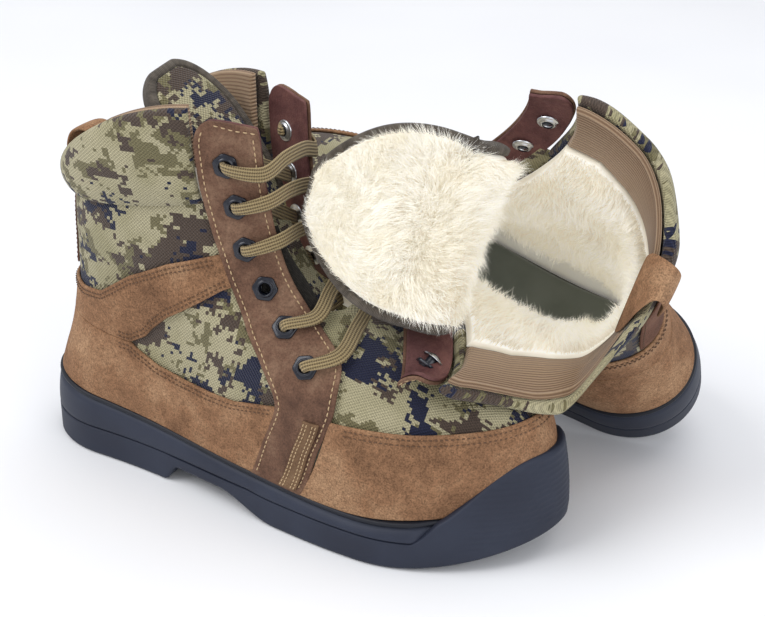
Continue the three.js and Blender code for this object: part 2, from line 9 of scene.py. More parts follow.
import bpy
import numpy as np
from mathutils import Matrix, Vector


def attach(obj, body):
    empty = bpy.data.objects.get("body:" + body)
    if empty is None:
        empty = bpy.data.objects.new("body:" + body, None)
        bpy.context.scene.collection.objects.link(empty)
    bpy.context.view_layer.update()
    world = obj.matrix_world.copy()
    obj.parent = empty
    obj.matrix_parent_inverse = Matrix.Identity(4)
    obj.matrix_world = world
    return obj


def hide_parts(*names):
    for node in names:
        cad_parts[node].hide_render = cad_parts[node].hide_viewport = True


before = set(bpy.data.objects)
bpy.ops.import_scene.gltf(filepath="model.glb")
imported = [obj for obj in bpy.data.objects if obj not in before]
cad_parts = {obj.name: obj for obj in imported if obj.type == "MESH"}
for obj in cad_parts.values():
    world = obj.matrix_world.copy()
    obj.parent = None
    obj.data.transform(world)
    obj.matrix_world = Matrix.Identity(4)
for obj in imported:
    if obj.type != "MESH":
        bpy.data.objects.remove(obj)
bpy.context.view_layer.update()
PAIR_CENTRE = np.array([170.4, 69.4, 0.0])


def to_row(points):
    """Boot millimetres to row metres: subtract the middle of the pair, then divide by a thousand."""
    return (np.asarray(points, float) - PAIR_CENTRE) / 1000

# %% [markdown]
# ## Camera
# The view is from the front left and a little above, with a long lens, so the camera is set first: it says
# how fine each detail has to be. Half a millimetre on the boots can just be told apart.

# %% Camera
def look_from(azimuth, elevation, distance, target, lens, roll):
    """Eye = target + distance * back, with back = (sin a cos e, -cos a cos e, sin e); roll turns about the
    view."""
    a, e = math.radians(azimuth), math.radians(elevation)
    back = Vector((math.sin(a) * math.cos(e), -math.cos(a) * math.cos(e), math.sin(e)))
    data = bpy.data.cameras.new("camera")
    data.lens = lens
    data.sensor_width = 36
    data.clip_start = 0.05
    eye = bpy.data.objects.new("camera", data)
    bpy.context.scene.collection.objects.link(eye)
    eye.location = Vector(to_row(target)) + back * distance / 1000
    turn = back.to_track_quat("Z", "Y").to_euler()
    eye.rotation_euler = turn
    eye.rotation_euler.rotate_axis("Z", math.radians(roll))
    bpy.context.scene.camera = eye
    return eye


camera = look_from(28.5, 27.0, 727, (202, 0, 113), 69.65, 0.8)
print("camera at", [round(v, 3) for v in camera.location])

# %% [markdown]
# ## The skin of the boot
# A boot upper is stretched over a last. Its skin is a surface of two parameters: t runs round from the heel
# (0) to the front (pi), and v climbs from the sole line (0) to the rim (1). Nine sections give the back,
# the front, the opening and five half widths, and smooth curves run between them.

# %% Sections and outlines
SECTIONS = [
    [6, 40, 289, 33, 0, 0, 34, 34, 42, 48, 43],
    [10, 51, 290, 52, 0, 0, 35, 36, 42, 48, 43],
    [15, 66, 282, 74, 0, 0, 35, 36, 41, 45, 42],
    [19, 85, 248, 90, 0, 0, 34, 35, 39, 41, 38],
    [21, 102, 212, 101, 0, 0, 33, 35, 37, 36, 33],
    [22, 118, 183, 112, 7, 0, 33, 35, 36, 33, 29],
    [23, 134, 161, 132, 14, 0, 34, 37, 37, 34, 27],
    [25, 150, 150, 163, 18, 8, 35, 38, 38, 34, 26],
    [27, 166, 146, 206, 21, 19, 36, 40, 40, 35, 27],
]
BACK_ROUND = [0.15, 0.17, 0.2, 0.24, 0.26, 0.28, 0.3, 0.34, 0.36]
FRONT_ROUND = [0.28, 0.3, 0.36, 0.44, 0.5, 0.58, 0.62, 0.62, 0.62]
FEATHER = [40, 33, 27, 24, 33]
SOLE_LENGTH = 300
TOE_SHIFT = 12

FACING_REAR = [(152, 24), (159, 45), (167, 68), (163, 81), (150, 97), (137, 113), (129, 131), (123, 151),
               (118, 176), (116, 206)]
FACING_FRONT = [(183, 22), (194, 55), (200, 78), (194, 96), (178, 106), (165, 118), (157, 133), (152, 152),
                (149, 175), (147, 203)]
STRAP_REAR = [(170.5, 27.5), (178.5, 48), (185, 68)]
STRAP_FRONT = [(181, 27.5), (188, 48), (194, 68)]
EYELETS = [(181, 91), (164, 104), (149, 121), (139, 141), (135, 163), (131, 184)]
WINDOW_LOW = [(0, 77), (74, 77), (78, 74.5), (84, 72), (91, 69), (108, 66), (127, 64), (141, 64), (166, 69)]
WINDOW_HIGH = [(0, 77), (74, 77), (78, 79.5), (84, 83), (89, 89), (99, 98), (118, 110), (129, 118), (138, 122)]
COUNTER_TOP = [(0, 97), (38, 97), (55, 101), (76, 116), (100, 128), (127, 137)]
COLLAR_SEAM = [(0, 146), (59, 149), (81, 152), (100, 155), (135, 161)]
CUFF_SEAM = [(0, 145), (30, 147), (90, 175), (130, 179)]
RAND_TOP = [(185, 70), (238, 70), (272, 72), (290, 74)]
BASE_ROW = [(-999, -99), (999, -99)]
RIM_ROW = [(-999, 999), (999, 999)]


def level(z):
    """A level outline at height z."""
    return [(-999, z), (999, z)]


def smooth(x):
    """Smooth step: 3 x^2 - 2 x^3 with x held between 0 and 1."""
    x = np.clip(x, 0, 1)
    return x * x * (3 - 2 * x)


def spline(values, f):
    """Catmull-Rom value of a list of numbers or points at fractional index f."""
    values = np.asarray(values, float)
    f = np.asarray(f, float)
    n = len(values)
    i = np.clip(np.floor(f).astype(int), 0, n - 2)
    k = f - i
    p1, p2 = values[i], values[i + 1]
    if values.ndim > 1:
        k = k[..., None]
        first, last = (i > 0)[..., None], (i < n - 2)[..., None]
    else:
        first, last = i > 0, i < n - 2
    p0 = np.where(first, values[np.maximum(i - 1, 0)], 2 * p1 - p2)
    p3 = np.where(last, values[np.minimum(i + 2, n - 1)], 2 * p2 - p1)
    return p1 + 0.5 * k * (p2 - p0 + k * (2 * p0 - 5 * p1 + 4 * p2 - p3 + k * (3 * (p1 - p2) + p3 - p0)))


def skin(side, t, v):
    """Skin point: x mixes back and front by s = (1 - cos t) / 2; y is the half width, rounded at both ends
    by quarter ellipses; z mixes back and front height, with a lift in the middle and a dip along the sole
    line."""
    side, t, v = np.broadcast_arrays(side, t, v)
    row = spline(np.array(SECTIONS, float), v * (len(SECTIONS) - 1))
    xb, zb, xf, zf, gap, lift = [row[..., k] for k in range(6)]
    s = (1 - np.cos(t)) / 2
    f = 4 * s
    i = np.clip(np.floor(f).astype(int), 0, 3)
    k = f - i
    wide = row[..., 6:]
    pick = lambda j: np.take_along_axis(wide, np.clip(j, 0, 4)[..., None], -1)[..., 0]
    p1, p2 = pick(i), pick(i + 1)
    p0 = np.where(i > 0, pick(i - 1), 2 * p1 - p2)
    p3 = np.where(i < 3, pick(i + 2), 2 * p2 - p1)
    half = p1 + 0.5 * k * (p2 - p0 + k * (2 * p0 - 5 * p1 + 4 * p2 - p3 + k * (3 * (p1 - p2) + p3 - p0)))
    back = spline(BACK_ROUND, v * 8)
    front = spline(FRONT_ROUND, v * 8)
    rise = np.where(s < back, np.sqrt(np.clip((2 - s / back) * s / back, 0, 1)), 1)
    q = np.clip((s - 1 + front) / front, 0, 1)
    open_part = np.clip(gap, 0, 60) / row[..., 10]
    fall = np.sqrt(np.clip(1 - q * q * (1 - open_part * open_part), 0, 1))
    x = xb + (xf - xb) * s
    shift = TOE_SHIFT * np.clip((x - 150) / 150, 0, 9) ** 2 * (1 - smooth((v - 0.3) / 0.3))
    dip = (spline(FEATHER, f) - (FEATHER[0] + (FEATHER[4] - FEATHER[0]) * s)) * (1 - smooth(v / 0.25))
    z = zb + (zf - zb) * s + lift * 4 * s * (1 - s) + dip
    return np.stack([x, side * half * rise * fall + shift, z], -1)


def skin_out(side, t, v, out):
    """A skin point moved outward: the normal is the cross product of small steps along t and v."""
    d = 0.004
    side, t, v = np.broadcast_arrays(side, t, v)
    a = skin(side, np.minimum(t + d, math.pi - 1e-4), v) - skin(side, np.maximum(t - d, 1e-4), v)
    b = skin(side, t, np.minimum(v + d, 1)) - skin(side, t, np.maximum(v - d, 0))
    n = np.cross(a, b) * np.asarray(side)[..., None]
    n[..., 2] *= smooth(v / 0.15)
    flat = (t < 0.02) | ((t > math.pi - 0.02) & (v < 0.6))
    n[..., 1] = np.where(flat, 0, n[..., 1])
    n /= np.linalg.norm(n, axis=-1, keepdims=True) + 1e-12
    return skin(side, t, v) - n * np.asarray(out)[..., None]


def height_at(line, x):
    """Straight-line height of an outline at x, carried on past its ends."""
    line = np.asarray(line, float)
    i = np.searchsorted(line[1:-1, 0], x, side="left")
    x0, z0, x1, z1 = line[i, 0], line[i, 1], line[i + 1, 0], line[i + 1, 1]
    k = np.clip((x - x0) / (x1 - x0), np.where(i == 0, -9, 0), np.where(i == len(line) - 2, 9, 1))
    return z0 + (z1 - z0) * k


T_STEPS = np.linspace(0, math.pi, 361)


def row(line):
    """v along an outline as a function of t, found by halving and kept as a table."""
    low, high = np.zeros_like(T_STEPS), np.ones_like(T_STEPS)
    for _ in range(22):
        v = (low + high) / 2
        p = skin(1, T_STEPS, v)
        under = p[:, 2] < height_at(line, p[:, 0])
        low, high = np.where(under, v, low), np.where(under, high, v)
    table = (low + high) / 2
    return lambda t: np.interp(t, T_STEPS, table)


def locate(points):
    """t and v of side-view points, by halving t and, inside that, v."""
    points = np.asarray(points, float)
    low, high = np.zeros(len(points)), np.full(len(points), math.pi)
    for _ in range(22):
        t = (low + high) / 2
        a, b = np.zeros(len(points)), np.ones(len(points))
        for _ in range(20):
            v = (a + b) / 2
            under = skin(1, t, v)[:, 2] < points[:, 1]
            a, b = np.where(under, v, a), np.where(under, b, v)
        left = skin(1, t, (a + b) / 2)[:, 0] < points[:, 0]
        low, high = np.where(left, t, low), np.where(left, high, t)
    return (low + high) / 2, (a + b) / 2

# %% [markdown]
# ## Patches of the skin
# A patch is a function of u and w that gives side, t and v. Three kinds cover the boot: a strip round the
# heel, a strip round the toe, and a strip on one side between a rear and a front outline.

# %% Patches
def along(table, w):
    """Smooth value of a list along w from 0 to 1."""
    return spline(table, w * (len(table) - 1))


def rear_edge(step):
    """t over v along the rear edge of the lace facing, moved forward by a step."""
    t, v = locate(FACING_REAR)
    f = np.linspace(0, len(t) - 1, 400)
    vs, ts = spline(v, f), spline(t, f)
    return lambda w: np.interp(w, vs, ts) + step


def fixed_edge(point):
    """The same t for every v."""
    t = locate([point])[0][0]
    return lambda w: np.full_like(w, t)


def round_heel(low_line, high_line, edge):
    """Patch round the heel: u = 0 and 1 are its two ends, w climbs from one outline to the other."""
    low, high = row(low_line), row(high_line)

    def patch(u, w):
        side = np.where(u < 0.5, -1.0, 1.0)
        run = np.abs(2 * u - 1)
        v = w.copy()
        for _ in range(6):
            t = run * edge(v)
            v = low(t) + (high(t) - low(t)) * w
        return side, t, v

    return patch


def round_toe(low_end, low_line, high_end, high_line):
    """Patch round the toe from one side's end to the other's."""
    ends = locate([low_end, high_end])[0]
    low, high = row(low_line), row(high_line)

    def patch(u, w):
        side = np.where(u < 0.5, -1.0, 1.0)
        run = np.abs(2 * u - 1)
        t = math.pi + (ends[0] + (ends[1] - ends[0]) * w - math.pi) * run
        return side, t, low(t) + (high(t) - low(t)) * w

    return patch


def on_side(side, rear, front, corner=0.0):
    """Patch on one side (-1 outer, 1 inner) between a rear and a front outline. Over the last `corner` of its
    height both outlines draw in by a quarter ellipse."""
    rt, rv = locate(rear)
    ft, fv = locate(front)

    def patch(u, w):
        if corner:
            k = np.clip((w - 1 + corner) / corner, 0, 1)
            u = 0.5 + (u - 0.5) * (0.62 + 0.38 * np.sqrt(1 - k * k))
        t = along(rt, w) + (along(ft, w) - along(rt, w)) * u
        v = along(rv, w) + (along(fv, w) - along(rv, w)) * u
        return np.full_like(u, side), np.minimum(t, math.pi - 0.001), v

    return patch

# %% [markdown]
# ## Opening and tipping the second boot
# The shaft of the second boot is spread like a book: both flaps swing out, more the higher they are. Then the
# whole boot is mirrored, turned, tipped onto the edge of its sole and set down.

# %% The opened boot
TIPPED = {"turn": 170.3, "tip": -42.1, "lift": -14, "at": (323.1, 148.3, 19.4)}


def spread(p):
    """Moves a point by a mix of two flap movements, which grow smoothly with height and towards the front;
    over the last 64 mm below the rim the wall also rolls outward, and the near lip turns over."""
    x, y, z = p[..., 0], p[..., 1], p[..., 2]
    u = smooth((z - 100) / 100)
    g = np.clip((x - 20) / 127, 0, 1)
    side = smooth((y + 12) / 24)
    near = np.stack([-33 * g * g, 72 * g ** 2.6, 26 * smooth((g - 0.4) / 0.5) - 50 * smooth(g / 0.25)], -1)
    far = np.stack([-27 * g, -33 * g ** 1.8, -8 * g], -1)
    bend = (u ** (1 + 0.8 * side * g))[..., None]
    moved = p + (far + (near - far) * side[..., None]) * bend
    moved[..., 0] -= 12 * u
    s = np.clip((x - 27) / 119, 0, 1)
    rim = 166 + 40 * s + 76 * s * (1 - s)
    fade = smooth(g / 0.25) * smooth((1.05 - g) / 0.4)
    roll = smooth((z - rim) / 64 + 1)
    lip = np.clip((z - rim) / 30 + 1, 0, 1) ** 2 * side
    moved[..., 1] += fade * (roll * (17 * side - 6 * (1 - side)) + 10 * lip)
    moved[..., 2] -= fade * (roll * 3 * side + 3 * lip)
    return moved


def tip(p):
    """Turns by the rotation Z * X * Y and moves to where the tipped boot stands."""
    a, b, c = [math.radians(TIPPED[k]) for k in ("tip", "lift", "turn")]
    rx = np.array([[1, 0, 0], [0, math.cos(a), -math.sin(a)], [0, math.sin(a), math.cos(a)]])
    ry = np.array([[math.cos(b), 0, math.sin(b)], [0, 1, 0], [-math.sin(b), 0, math.cos(b)]])
    rz = np.array([[math.cos(c), -math.sin(c), 0], [math.sin(c), math.cos(c), 0], [0, 0, 1]])
    return p @ (rz @ rx @ ry).T + np.array(TIPPED["at"])


def opened(p):
    """Mirror, spread and tip."""
    return tip(spread(np.asarray(p, float) * (1, -1, 1)))


def standing(p):
    """The standing boot stays as it is."""
    return np.asarray(p, float)


POSES = {"right": standing, "left": opened}
# %% [markdown]
# ## From arrays to pieces
# A panel of leather or cloth is a thin closed shell: an outer and an inner sheet that meet in a rounded edge.
# Each vertex also keeps its flat coordinates in millimetres, measured along the surface, so that a woven or
# printed pattern lies on the panel as it lay on the cutting table.

# %% Mesh makers
def build(name, points, faces, finish, flat=None, smooth_faces=True):
    """Puts whole arrays into a mesh: points in boot millimetres, faces as rows of 3 or 4 vertex numbers."""
    mesh = bpy.data.meshes.new(name)
    points = to_row(points).astype(np.float32)
    size = faces.shape[1]
    mesh.vertices.add(len(points))
    mesh.vertices.foreach_set("co", points.ravel())
    mesh.loops.add(faces.size)
    mesh.loops.foreach_set("vertex_index", faces.astype(np.int32).ravel())
    mesh.polygons.add(len(faces))
    mesh.polygons.foreach_set("loop_start", np.arange(0, faces.size, size, dtype=np.int32))
    if flat is not None:
        layer = mesh.attributes.new("flat", "FLOAT_VECTOR", "POINT")
        layer.data.foreach_set("vector", np.asarray(flat, np.float32).ravel())
    mesh.update(calc_edges=True)
    mesh.polygons.foreach_set("use_smooth", np.full(len(faces), smooth_faces))
    piece = bpy.data.objects.new(name, mesh)
    bpy.context.scene.collection.objects.link(piece)
    mesh.materials.append(finish)
    return piece


def facing_out(points, faces):
    """Turns the faces round where the signed volume, the sum of a . (b x c) over the triangles, is
    negative."""
    a, b, c = points[faces[:, 0]], points[faces[:, 1]], points[faces[:, 2]]
    volume = np.einsum("ij,ij->", a, np.cross(b, c))
    if faces.shape[1] == 4:
        d = points[faces[:, 3]]
        volume += np.einsum("ij,ij->", a, np.cross(c, d))
    return faces[:, ::-1] if volume < 0 else faces


def grid_faces(rows, columns, offset=0, closed=False):
    """Quads of a grid with that many rows and columns of vertices; closed joins the last row to the first."""
    index = np.arange(rows * columns).reshape(rows, columns) + offset
    if closed:
        index = np.vstack([index, index[:1]])
    return np.stack([index[:-1, :-1], index[1:, :-1], index[1:, 1:], index[:-1, 1:]], -1).reshape(-1, 4)


def steps(length, fine, edge):
    """Even steps along a length in mm, with four short steps in each rounded edge; given as fractions."""
    lead = np.array([0, 0.07, 0.25, 0.55]) * edge
    middle = np.linspace(edge, length - edge, max(3, int((length - 2 * edge) / fine) + 2))
    return np.concatenate([lead, middle, length - lead[::-1]]) / length


def run_lengths(points, axis):
    """Length along the grid lines of an axis, added up from the first vertex."""
    step = np.linalg.norm(np.diff(points, axis=axis), axis=-1)
    start = np.zeros_like(np.take(step, [0], axis=axis))
    return np.concatenate([start, np.cumsum(step, axis=axis)], axis=axis)


def patch_grid(patch, fine, edge):
    """Grid of u and w over a patch, with steps of about `fine` mm, one size or one for each direction."""
    fine_u, fine_w = np.broadcast_to(fine, 2)
    uu, ww = np.meshgrid(np.linspace(0, 1, 33), np.linspace(0, 1, 17), indexing="ij")
    rough = skin(*patch(uu, ww))
    width = run_lengths(rough, 0)[-1].mean()
    height = run_lengths(rough, 1)[:, -1].mean()
    u = steps(width, fine_u, edge)
    if abs(u - 0.5).min() > 1e-9:
        u = np.sort(np.append(u, 0.5))
    w = steps(height, fine_w, edge)
    return np.meshgrid(u, w, indexing="ij")


def lay_heel(base, u):
    """Cutting-table coordinates of a piece round the heel: length along each row from its middle, and
    height."""
    run = run_lengths(base, 0)
    return run - run[np.abs(u[:, 0] - 0.5).argmin()], base[..., 2]


def lay_toe(base, u):
    """The same for a piece over the toe: length of the foot, and the way down either side from its ridge."""
    ridge = base[np.abs(u[:, 0] - 0.5).argmin()]
    ridge = ridge[np.argsort(ridge[:, 0])]
    down = np.interp(base[..., 0], ridge[:, 0], ridge[:, 2]) - base[..., 2]
    return base[..., 0], np.sign(0.5 - u) * (np.abs(base[..., 1] - side_shift(base[..., 0])) + 0.8 * down)


def lay_collar(base, u):
    """The same for the collar, whose pad makes it taller: its width is length up the pad, 1.25 times the
    skin's."""
    return lay_heel(base, u)[0], 1.25 * run_lengths(base, 1) + base[:, :1, 2]


def lay_side(base, u):
    """The same for a piece on one side: length across from its rear edge, and height."""
    return run_lengths(base, 0), base[..., 2]


def panel(patch, low, high, fine=1.3, edge=1.1, relief=None, lay=lay_heel):
    """Closed shell over a patch. With e the distance to the nearest edge over `edge`, held at 1, both
    sheets leave the middle layer by sqrt(1 - (1 - e)^2), which rounds the rim. Returns points, faces and
    flat coordinates."""
    u, w = patch_grid(patch, fine, edge)
    side, t, v = patch(u, w)
    base = skin(side, t, v)
    across, up = run_lengths(base, 0), run_lengths(base, 1)
    near = np.minimum(np.minimum(across, across[-1:] - across), np.minimum(up, up[:, -1:] - up))
    lift = np.sqrt(np.clip(1 - (1 - np.clip(near / edge, 0, 1)) ** 2, 0, 1))
    flat_u, flat_w = lay(base, u)
    low = low(u, w) if callable(low) else low
    high = high(u, w) if callable(high) else high
    middle = (np.asarray(low) + np.asarray(high)) / 2
    extra = relief(flat_u, flat_w, near) if relief else 0.0
    outer = skin_out(side, t, v, middle + (high - middle + extra) * lift)
    inner = skin_out(side, t, v, middle - (middle - low) * lift)
    n, m = u.shape
    faces = np.vstack([grid_faces(n, m), grid_faces(n, m, n * m)[:, ::-1]])
    flat = np.stack([flat_u, flat_w, near], -1).reshape(-1, 3)
    return np.vstack([outer.reshape(-1, 3), inner.reshape(-1, 3)]), faces, np.vstack([flat, flat])


made = []


def fit(piece, body, nodes=()):
    """Rides the piece on its body, lets it stand for its CAD nodes and notes it."""
    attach(piece, body)
    if nodes:
        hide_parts(*nodes)
    made.append(piece)
    return piece


def both(part, finish, shape, replaces=True):
    """Makes a part for each boot from one shape in the standing boot's frame, moved by that boot's pose,
    and hands back the pieces."""
    points, faces, flat = shape
    pieces = []
    for foot, pose in POSES.items():
        moved = pose(points)
        piece = build(f"{foot}_{part}_look", moved, facing_out(moved, faces), finish, flat)
        fit(piece, f"{foot}_boot", [f"{foot}_{part}"] if replaces else ())
        pieces.append(piece)
    print(f"{part}: {len(points)} vertices for each boot")
    return pieces

# %% [markdown]
# ## Finishes
# Every finish is a small node network. Cloth, knit and lace patterns read the flat coordinates; leather and
# rubber have no direction, so they read Object coordinates. Colours are given as they look, then made linear.

# %% Finish helper
def colour(r, g, b):
    """Display colour from 0 to 255 to linear light: ((c + 0.055) / 1.055) ^ 2.4 above 0.04, c / 12.92
    below."""
    c = np.array([r, g, b]) / 255
    return (*np.where(c > 0.04045, ((c + 0.055) / 1.055) ** 2.4, c / 12.92), 1.0)


class Finish:
    """A material with short ways to add nodes; inputs are values or other nodes' sockets."""

    def __init__(self, name, roughness=0.8, metallic=0.0, sheen=0.0, sheen_tint=None, specular=0.5):
        """Makes the material and sets the plain values of its shader."""
        self.material = bpy.data.materials.new(name)
        self.material.use_nodes = True
        self.tree = self.material.node_tree
        self.shader = self.tree.nodes["Principled BSDF"]
        self.shader.inputs["Roughness"].default_value = roughness
        self.shader.inputs["Metallic"].default_value = metallic
        self.shader.inputs["Sheen Weight"].default_value = sheen
        self.shader.inputs["Sheen Roughness"].default_value = 0.5
        self.shader.inputs["Specular IOR Level"].default_value = specular
        if sheen_tint:
            self.shader.inputs["Sheen Tint"].default_value = sheen_tint

    def put(self, node, key, value):
        """Links a socket, or sets a plain value, on one input."""
        if isinstance(value, bpy.types.NodeSocket):
            self.tree.links.new(value, node.inputs[key])
        else:
            node.inputs[key].default_value = value

    def add(self, kind, settings=None, **inputs):
        """Adds a node; settings are its options, inputs its sockets by name."""
        node = self.tree.nodes.new(kind)
        for key, value in (settings or {}).items():
            setattr(node, key, value)
        for key, value in inputs.items():
            self.put(node, key.replace("_", " "), value)
        return node

    def math(self, operation, a, b=0.0, c=0.0):
        """One arithmetic step on up to three values."""
        node = self.add("ShaderNodeMath", {"operation": operation})
        for i, value in enumerate((a, b, c)):
            self.put(node, i, value)
        return node.outputs[0]

    def flat(self):
        """Flat coordinates of the piece, in millimetres."""
        return self.add("ShaderNodeAttribute", {"attribute_name": "flat"}).outputs["Vector"]

    def place(self):
        """Object coordinates, in metres."""
        return self.add("ShaderNodeTexCoord").outputs["Object"]

    def split(self, vector):
        """The three parts of a vector."""
        return self.add("ShaderNodeSeparateXYZ", Vector=vector).outputs

    def join(self, x, y, z=0.0):
        """A vector from three parts."""
        return self.add("ShaderNodeCombineXYZ", X=x, Y=y, Z=z).outputs[0]

    def noise(self, vector, scale, detail=2.0, rough=0.5):
        """Soft random value from 0 to 1 at a point."""
        node = self.add("ShaderNodeTexNoise", Vector=vector, Scale=scale, Detail=detail, Roughness=rough)
        return node.outputs[0]

    def ramp(self, value, stops, steps=False):
        """Colour from a value through (position, colour) stops, in steps or smoothly."""
        node = self.add("ShaderNodeValToRGB", Fac=value)
        node.color_ramp.interpolation = "CONSTANT" if steps else "LINEAR"
        marks = node.color_ramp.elements
        while len(marks) < len(stops):
            marks.new(0.5)
        for mark, (position, tone) in zip(marks, stops):
            mark.position = position
            mark.color = tone
        return node.outputs[0]

    def blend(self, factor, a, b, mode="MIX"):
        """a times (1 - factor) plus b times factor, or another mode."""
        node = self.add("ShaderNodeMix", {"data_type": "RGBA", "blend_type": mode})
        self.put(node, 0, factor)
        self.put(node, 6, a)
        self.put(node, 7, b)
        return node.outputs[2]

    def paint(self, tone):
        """Sets the base colour."""
        self.put(self.shader, "Base Color", tone)
        return self

    def bump(self, height, strength, distance):
        """Tilts the normal by the slope of a height."""
        node = self.add("ShaderNodeBump", Strength=strength, Distance=distance, Height=height)
        self.put(self.shader, "Normal", node.outputs[0])
        return self

# %% [markdown]
# ### Printed camouflage cloth
# The cloth is a coarse basket weave, printed in small squares. The squares come from rounding the flat
# coordinates down to whole cells before any noise is read, so that each cell has one colour.

# %% Camouflage cloth
def camouflage(name, pitch=1.75, shade=1.0, seed=0.0):
    """Cell number = floor(flat / pitch). Three noises of the cell number say where olive, brown and navy
    lie."""
    m = Finish(name, roughness=0.88, sheen=0.15, specular=0.25)
    x, y, _ = m.split(m.flat())
    cell = m.join(m.math("FLOOR", m.math("DIVIDE", x, pitch)),
                  m.math("FLOOR", m.math("DIVIDE", y, pitch)), seed)
    tone = lambda r, g, b: tuple(c * shade for c in colour(r, g, b)[:3]) + (1.0,)
    base = m.ramp(m.noise(cell, 0.05, 2), [(0.45, tone(178, 170, 138)), (0.62, tone(160, 153, 118))])

    def blot(place, scale, rough, from_value):
        """White where the noise of the cells is above a value."""
        moved = m.add("ShaderNodeMapping", Vector=cell, Location=place).outputs[0]
        return m.ramp(m.noise(moved, scale, 5, rough), [(0.0, (0, 0, 0, 1)), (from_value, (1, 1, 1, 1))], True)

    c = m.blend(blot((13, 5, 1), 0.052, 0.72, 0.53), base, tone(116, 109, 78))
    c = m.blend(blot((47, 31, 7), 0.062, 0.8, 0.535), c, tone(80, 67, 58))
    c = m.blend(blot((71, 90, 3), 0.05, 0.74, 0.565), c, tone(30, 34, 58))
    # The weave multiplies the colour: painted shade in the hollows between threads, lighter on the crossings;
    # the thread noise adds random tone.
    wave = 2 * math.pi / 1.9
    weave = m.math("MULTIPLY", m.math("SINE", m.math("MULTIPLY", x, wave)),
                   m.math("SINE", m.math("MULTIPLY", y, wave)))
    thread = m.noise(m.flat(), 1.6, 2)
    light = m.math("MULTIPLY_ADD", weave, 0.3, 0.9)
    light = m.math("MULTIPLY", light, m.math("MULTIPLY_ADD", thread, 0.5, 0.75))
    grey = m.join(light, light, light)
    m.paint(m.blend(1.0, c, grey, "MULTIPLY"))
    m.bump(m.math("ADD", weave, m.math("MULTIPLY", thread, 0.5)), 0.7, 0.0005)
    return m.material


cloth = camouflage("camouflage_cloth")

# %% [markdown]
# ### Suede, nubuck and rubber
# Suede is a short nap that catches light unevenly: big soft clouds where it was stroked, and a fine grain.
# Nubuck is the same hide, buffed less. The sole is moulded rubber, nearly black with a blue cast.

# %% Leathers and rubber
def nap(name, dark, mid, light, grain=0.55, rough=0.92, sheen=0.35, clouds=22.0):
    """Colour = clouds of noise between three tones, times a fine grain; the same grain is the bump."""
    m = Finish(name, roughness=rough, sheen=sheen * 0.5, sheen_tint=light, specular=0.2)
    p = m.place()
    cloud = m.noise(p, clouds, 4, 0.7)
    fine = m.noise(p, 1100, 2, 0.7)
    coarse = m.noise(p, 420, 3, 0.7)
    tone = m.ramp(cloud, [(0.34, dark), (0.5, mid), (0.66, light)])
    grey = lambda k: (k, k, k, 1)
    speck = m.ramp(fine, [(0.3, grey(1 - grain * 0.6)), (0.5, grey(1)), (0.7, grey(1 + grain * 0.45))])
    patch = m.ramp(coarse, [(0.3, grey(1 - grain * 0.22)), (0.5, grey(1)), (0.7, grey(1 + grain * 0.2))])
    m.paint(m.blend(1.0, m.blend(1.0, tone, speck, "MULTIPLY"), patch, "MULTIPLY"))
    m.bump(m.math("ADD", fine, coarse), 0.6, 0.0006)
    return m.material


suede = nap("tan_suede", colour(110, 80, 58), colour(137, 102, 75), colour(160, 126, 96), 0.8)
dark_suede = nap("dark_suede", colour(80, 54, 42), colour(98, 68, 54), colour(116, 84, 68), 0.6)
nubuck = nap("brown_nubuck", colour(84, 60, 48), colour(106, 78, 62), colour(132, 104, 84), 0.5, 0.75, 0.15, 34)
strap_hide = nap("strap_hide", colour(98, 74, 54), colour(118, 92, 68), colour(138, 112, 86), 0.4,
                 0.75, 0.15, 34)
flap_lining = nap("plum_leather", colour(76, 46, 46), colour(98, 64, 62), colour(118, 80, 74), 0.25,
                  0.6, 0.1, 40)


def moulded(name, tone, lighter, rough):
    """Nearly one colour, with faint clouds and a fine moulded grain."""
    m = Finish(name, roughness=rough, specular=0.35)
    p = m.place()
    m.paint(m.ramp(m.noise(p, 30, 3), [(0.35, tone), (0.7, lighter)]))
    m.bump(m.noise(p, 1500, 2), 0.25, 0.0003)
    return m.material


sole_rubber = moulded("sole_rubber", colour(34, 39, 54), colour(42, 48, 64), 0.6)
midsole_rubber = moulded("midsole_rubber", colour(36, 41, 56), colour(44, 50, 66), 0.55)
edge_rubber = moulded("edge_rubber", colour(18, 21, 30), colour(25, 28, 38), 0.5)

# %% [markdown]
# ### Knit, fleece, tape and thread
# The cuff is a fine rib knit, the lining and the tongue are sheepskin, the tongue is bound with dark tape,
# and the laces are flat braids. Each pattern follows the flat coordinates, which run along the piece.

# %% Soft finishes
def knitted():
    """Painted shade darkens the valleys between ribs 2.2 mm apart; small stitches every 0.9 mm along them."""
    m = Finish("rib_knit", roughness=0.95, sheen=0.2, specular=0.2)
    x, y, _ = m.split(m.flat())
    rib = m.math("SINE", m.math("MULTIPLY", y, 2 * math.pi / 2.2))
    loop = m.math("SINE", m.math("MULTIPLY", x, 2 * math.pi / 0.9))
    # The rib phase sets the colour: painted shade in the valleys, lighter on the crests.
    tone = m.ramp(m.math("MULTIPLY_ADD", rib, 0.5, 0.5),
                  [(0.0, colour(104, 80, 60)), (0.3, colour(156, 130, 104)), (1.0, colour(190, 164, 136))])
    m.paint(m.blend(m.math("MULTIPLY", m.noise(m.flat(), 0.8, 2), 0.35), tone, colour(140, 114, 90)))
    m.bump(m.math("ADD", m.math("MULTIPLY", rib, 1.0), m.math("MULTIPLY", loop, 0.3)), 0.6, 0.0005)
    return m.material


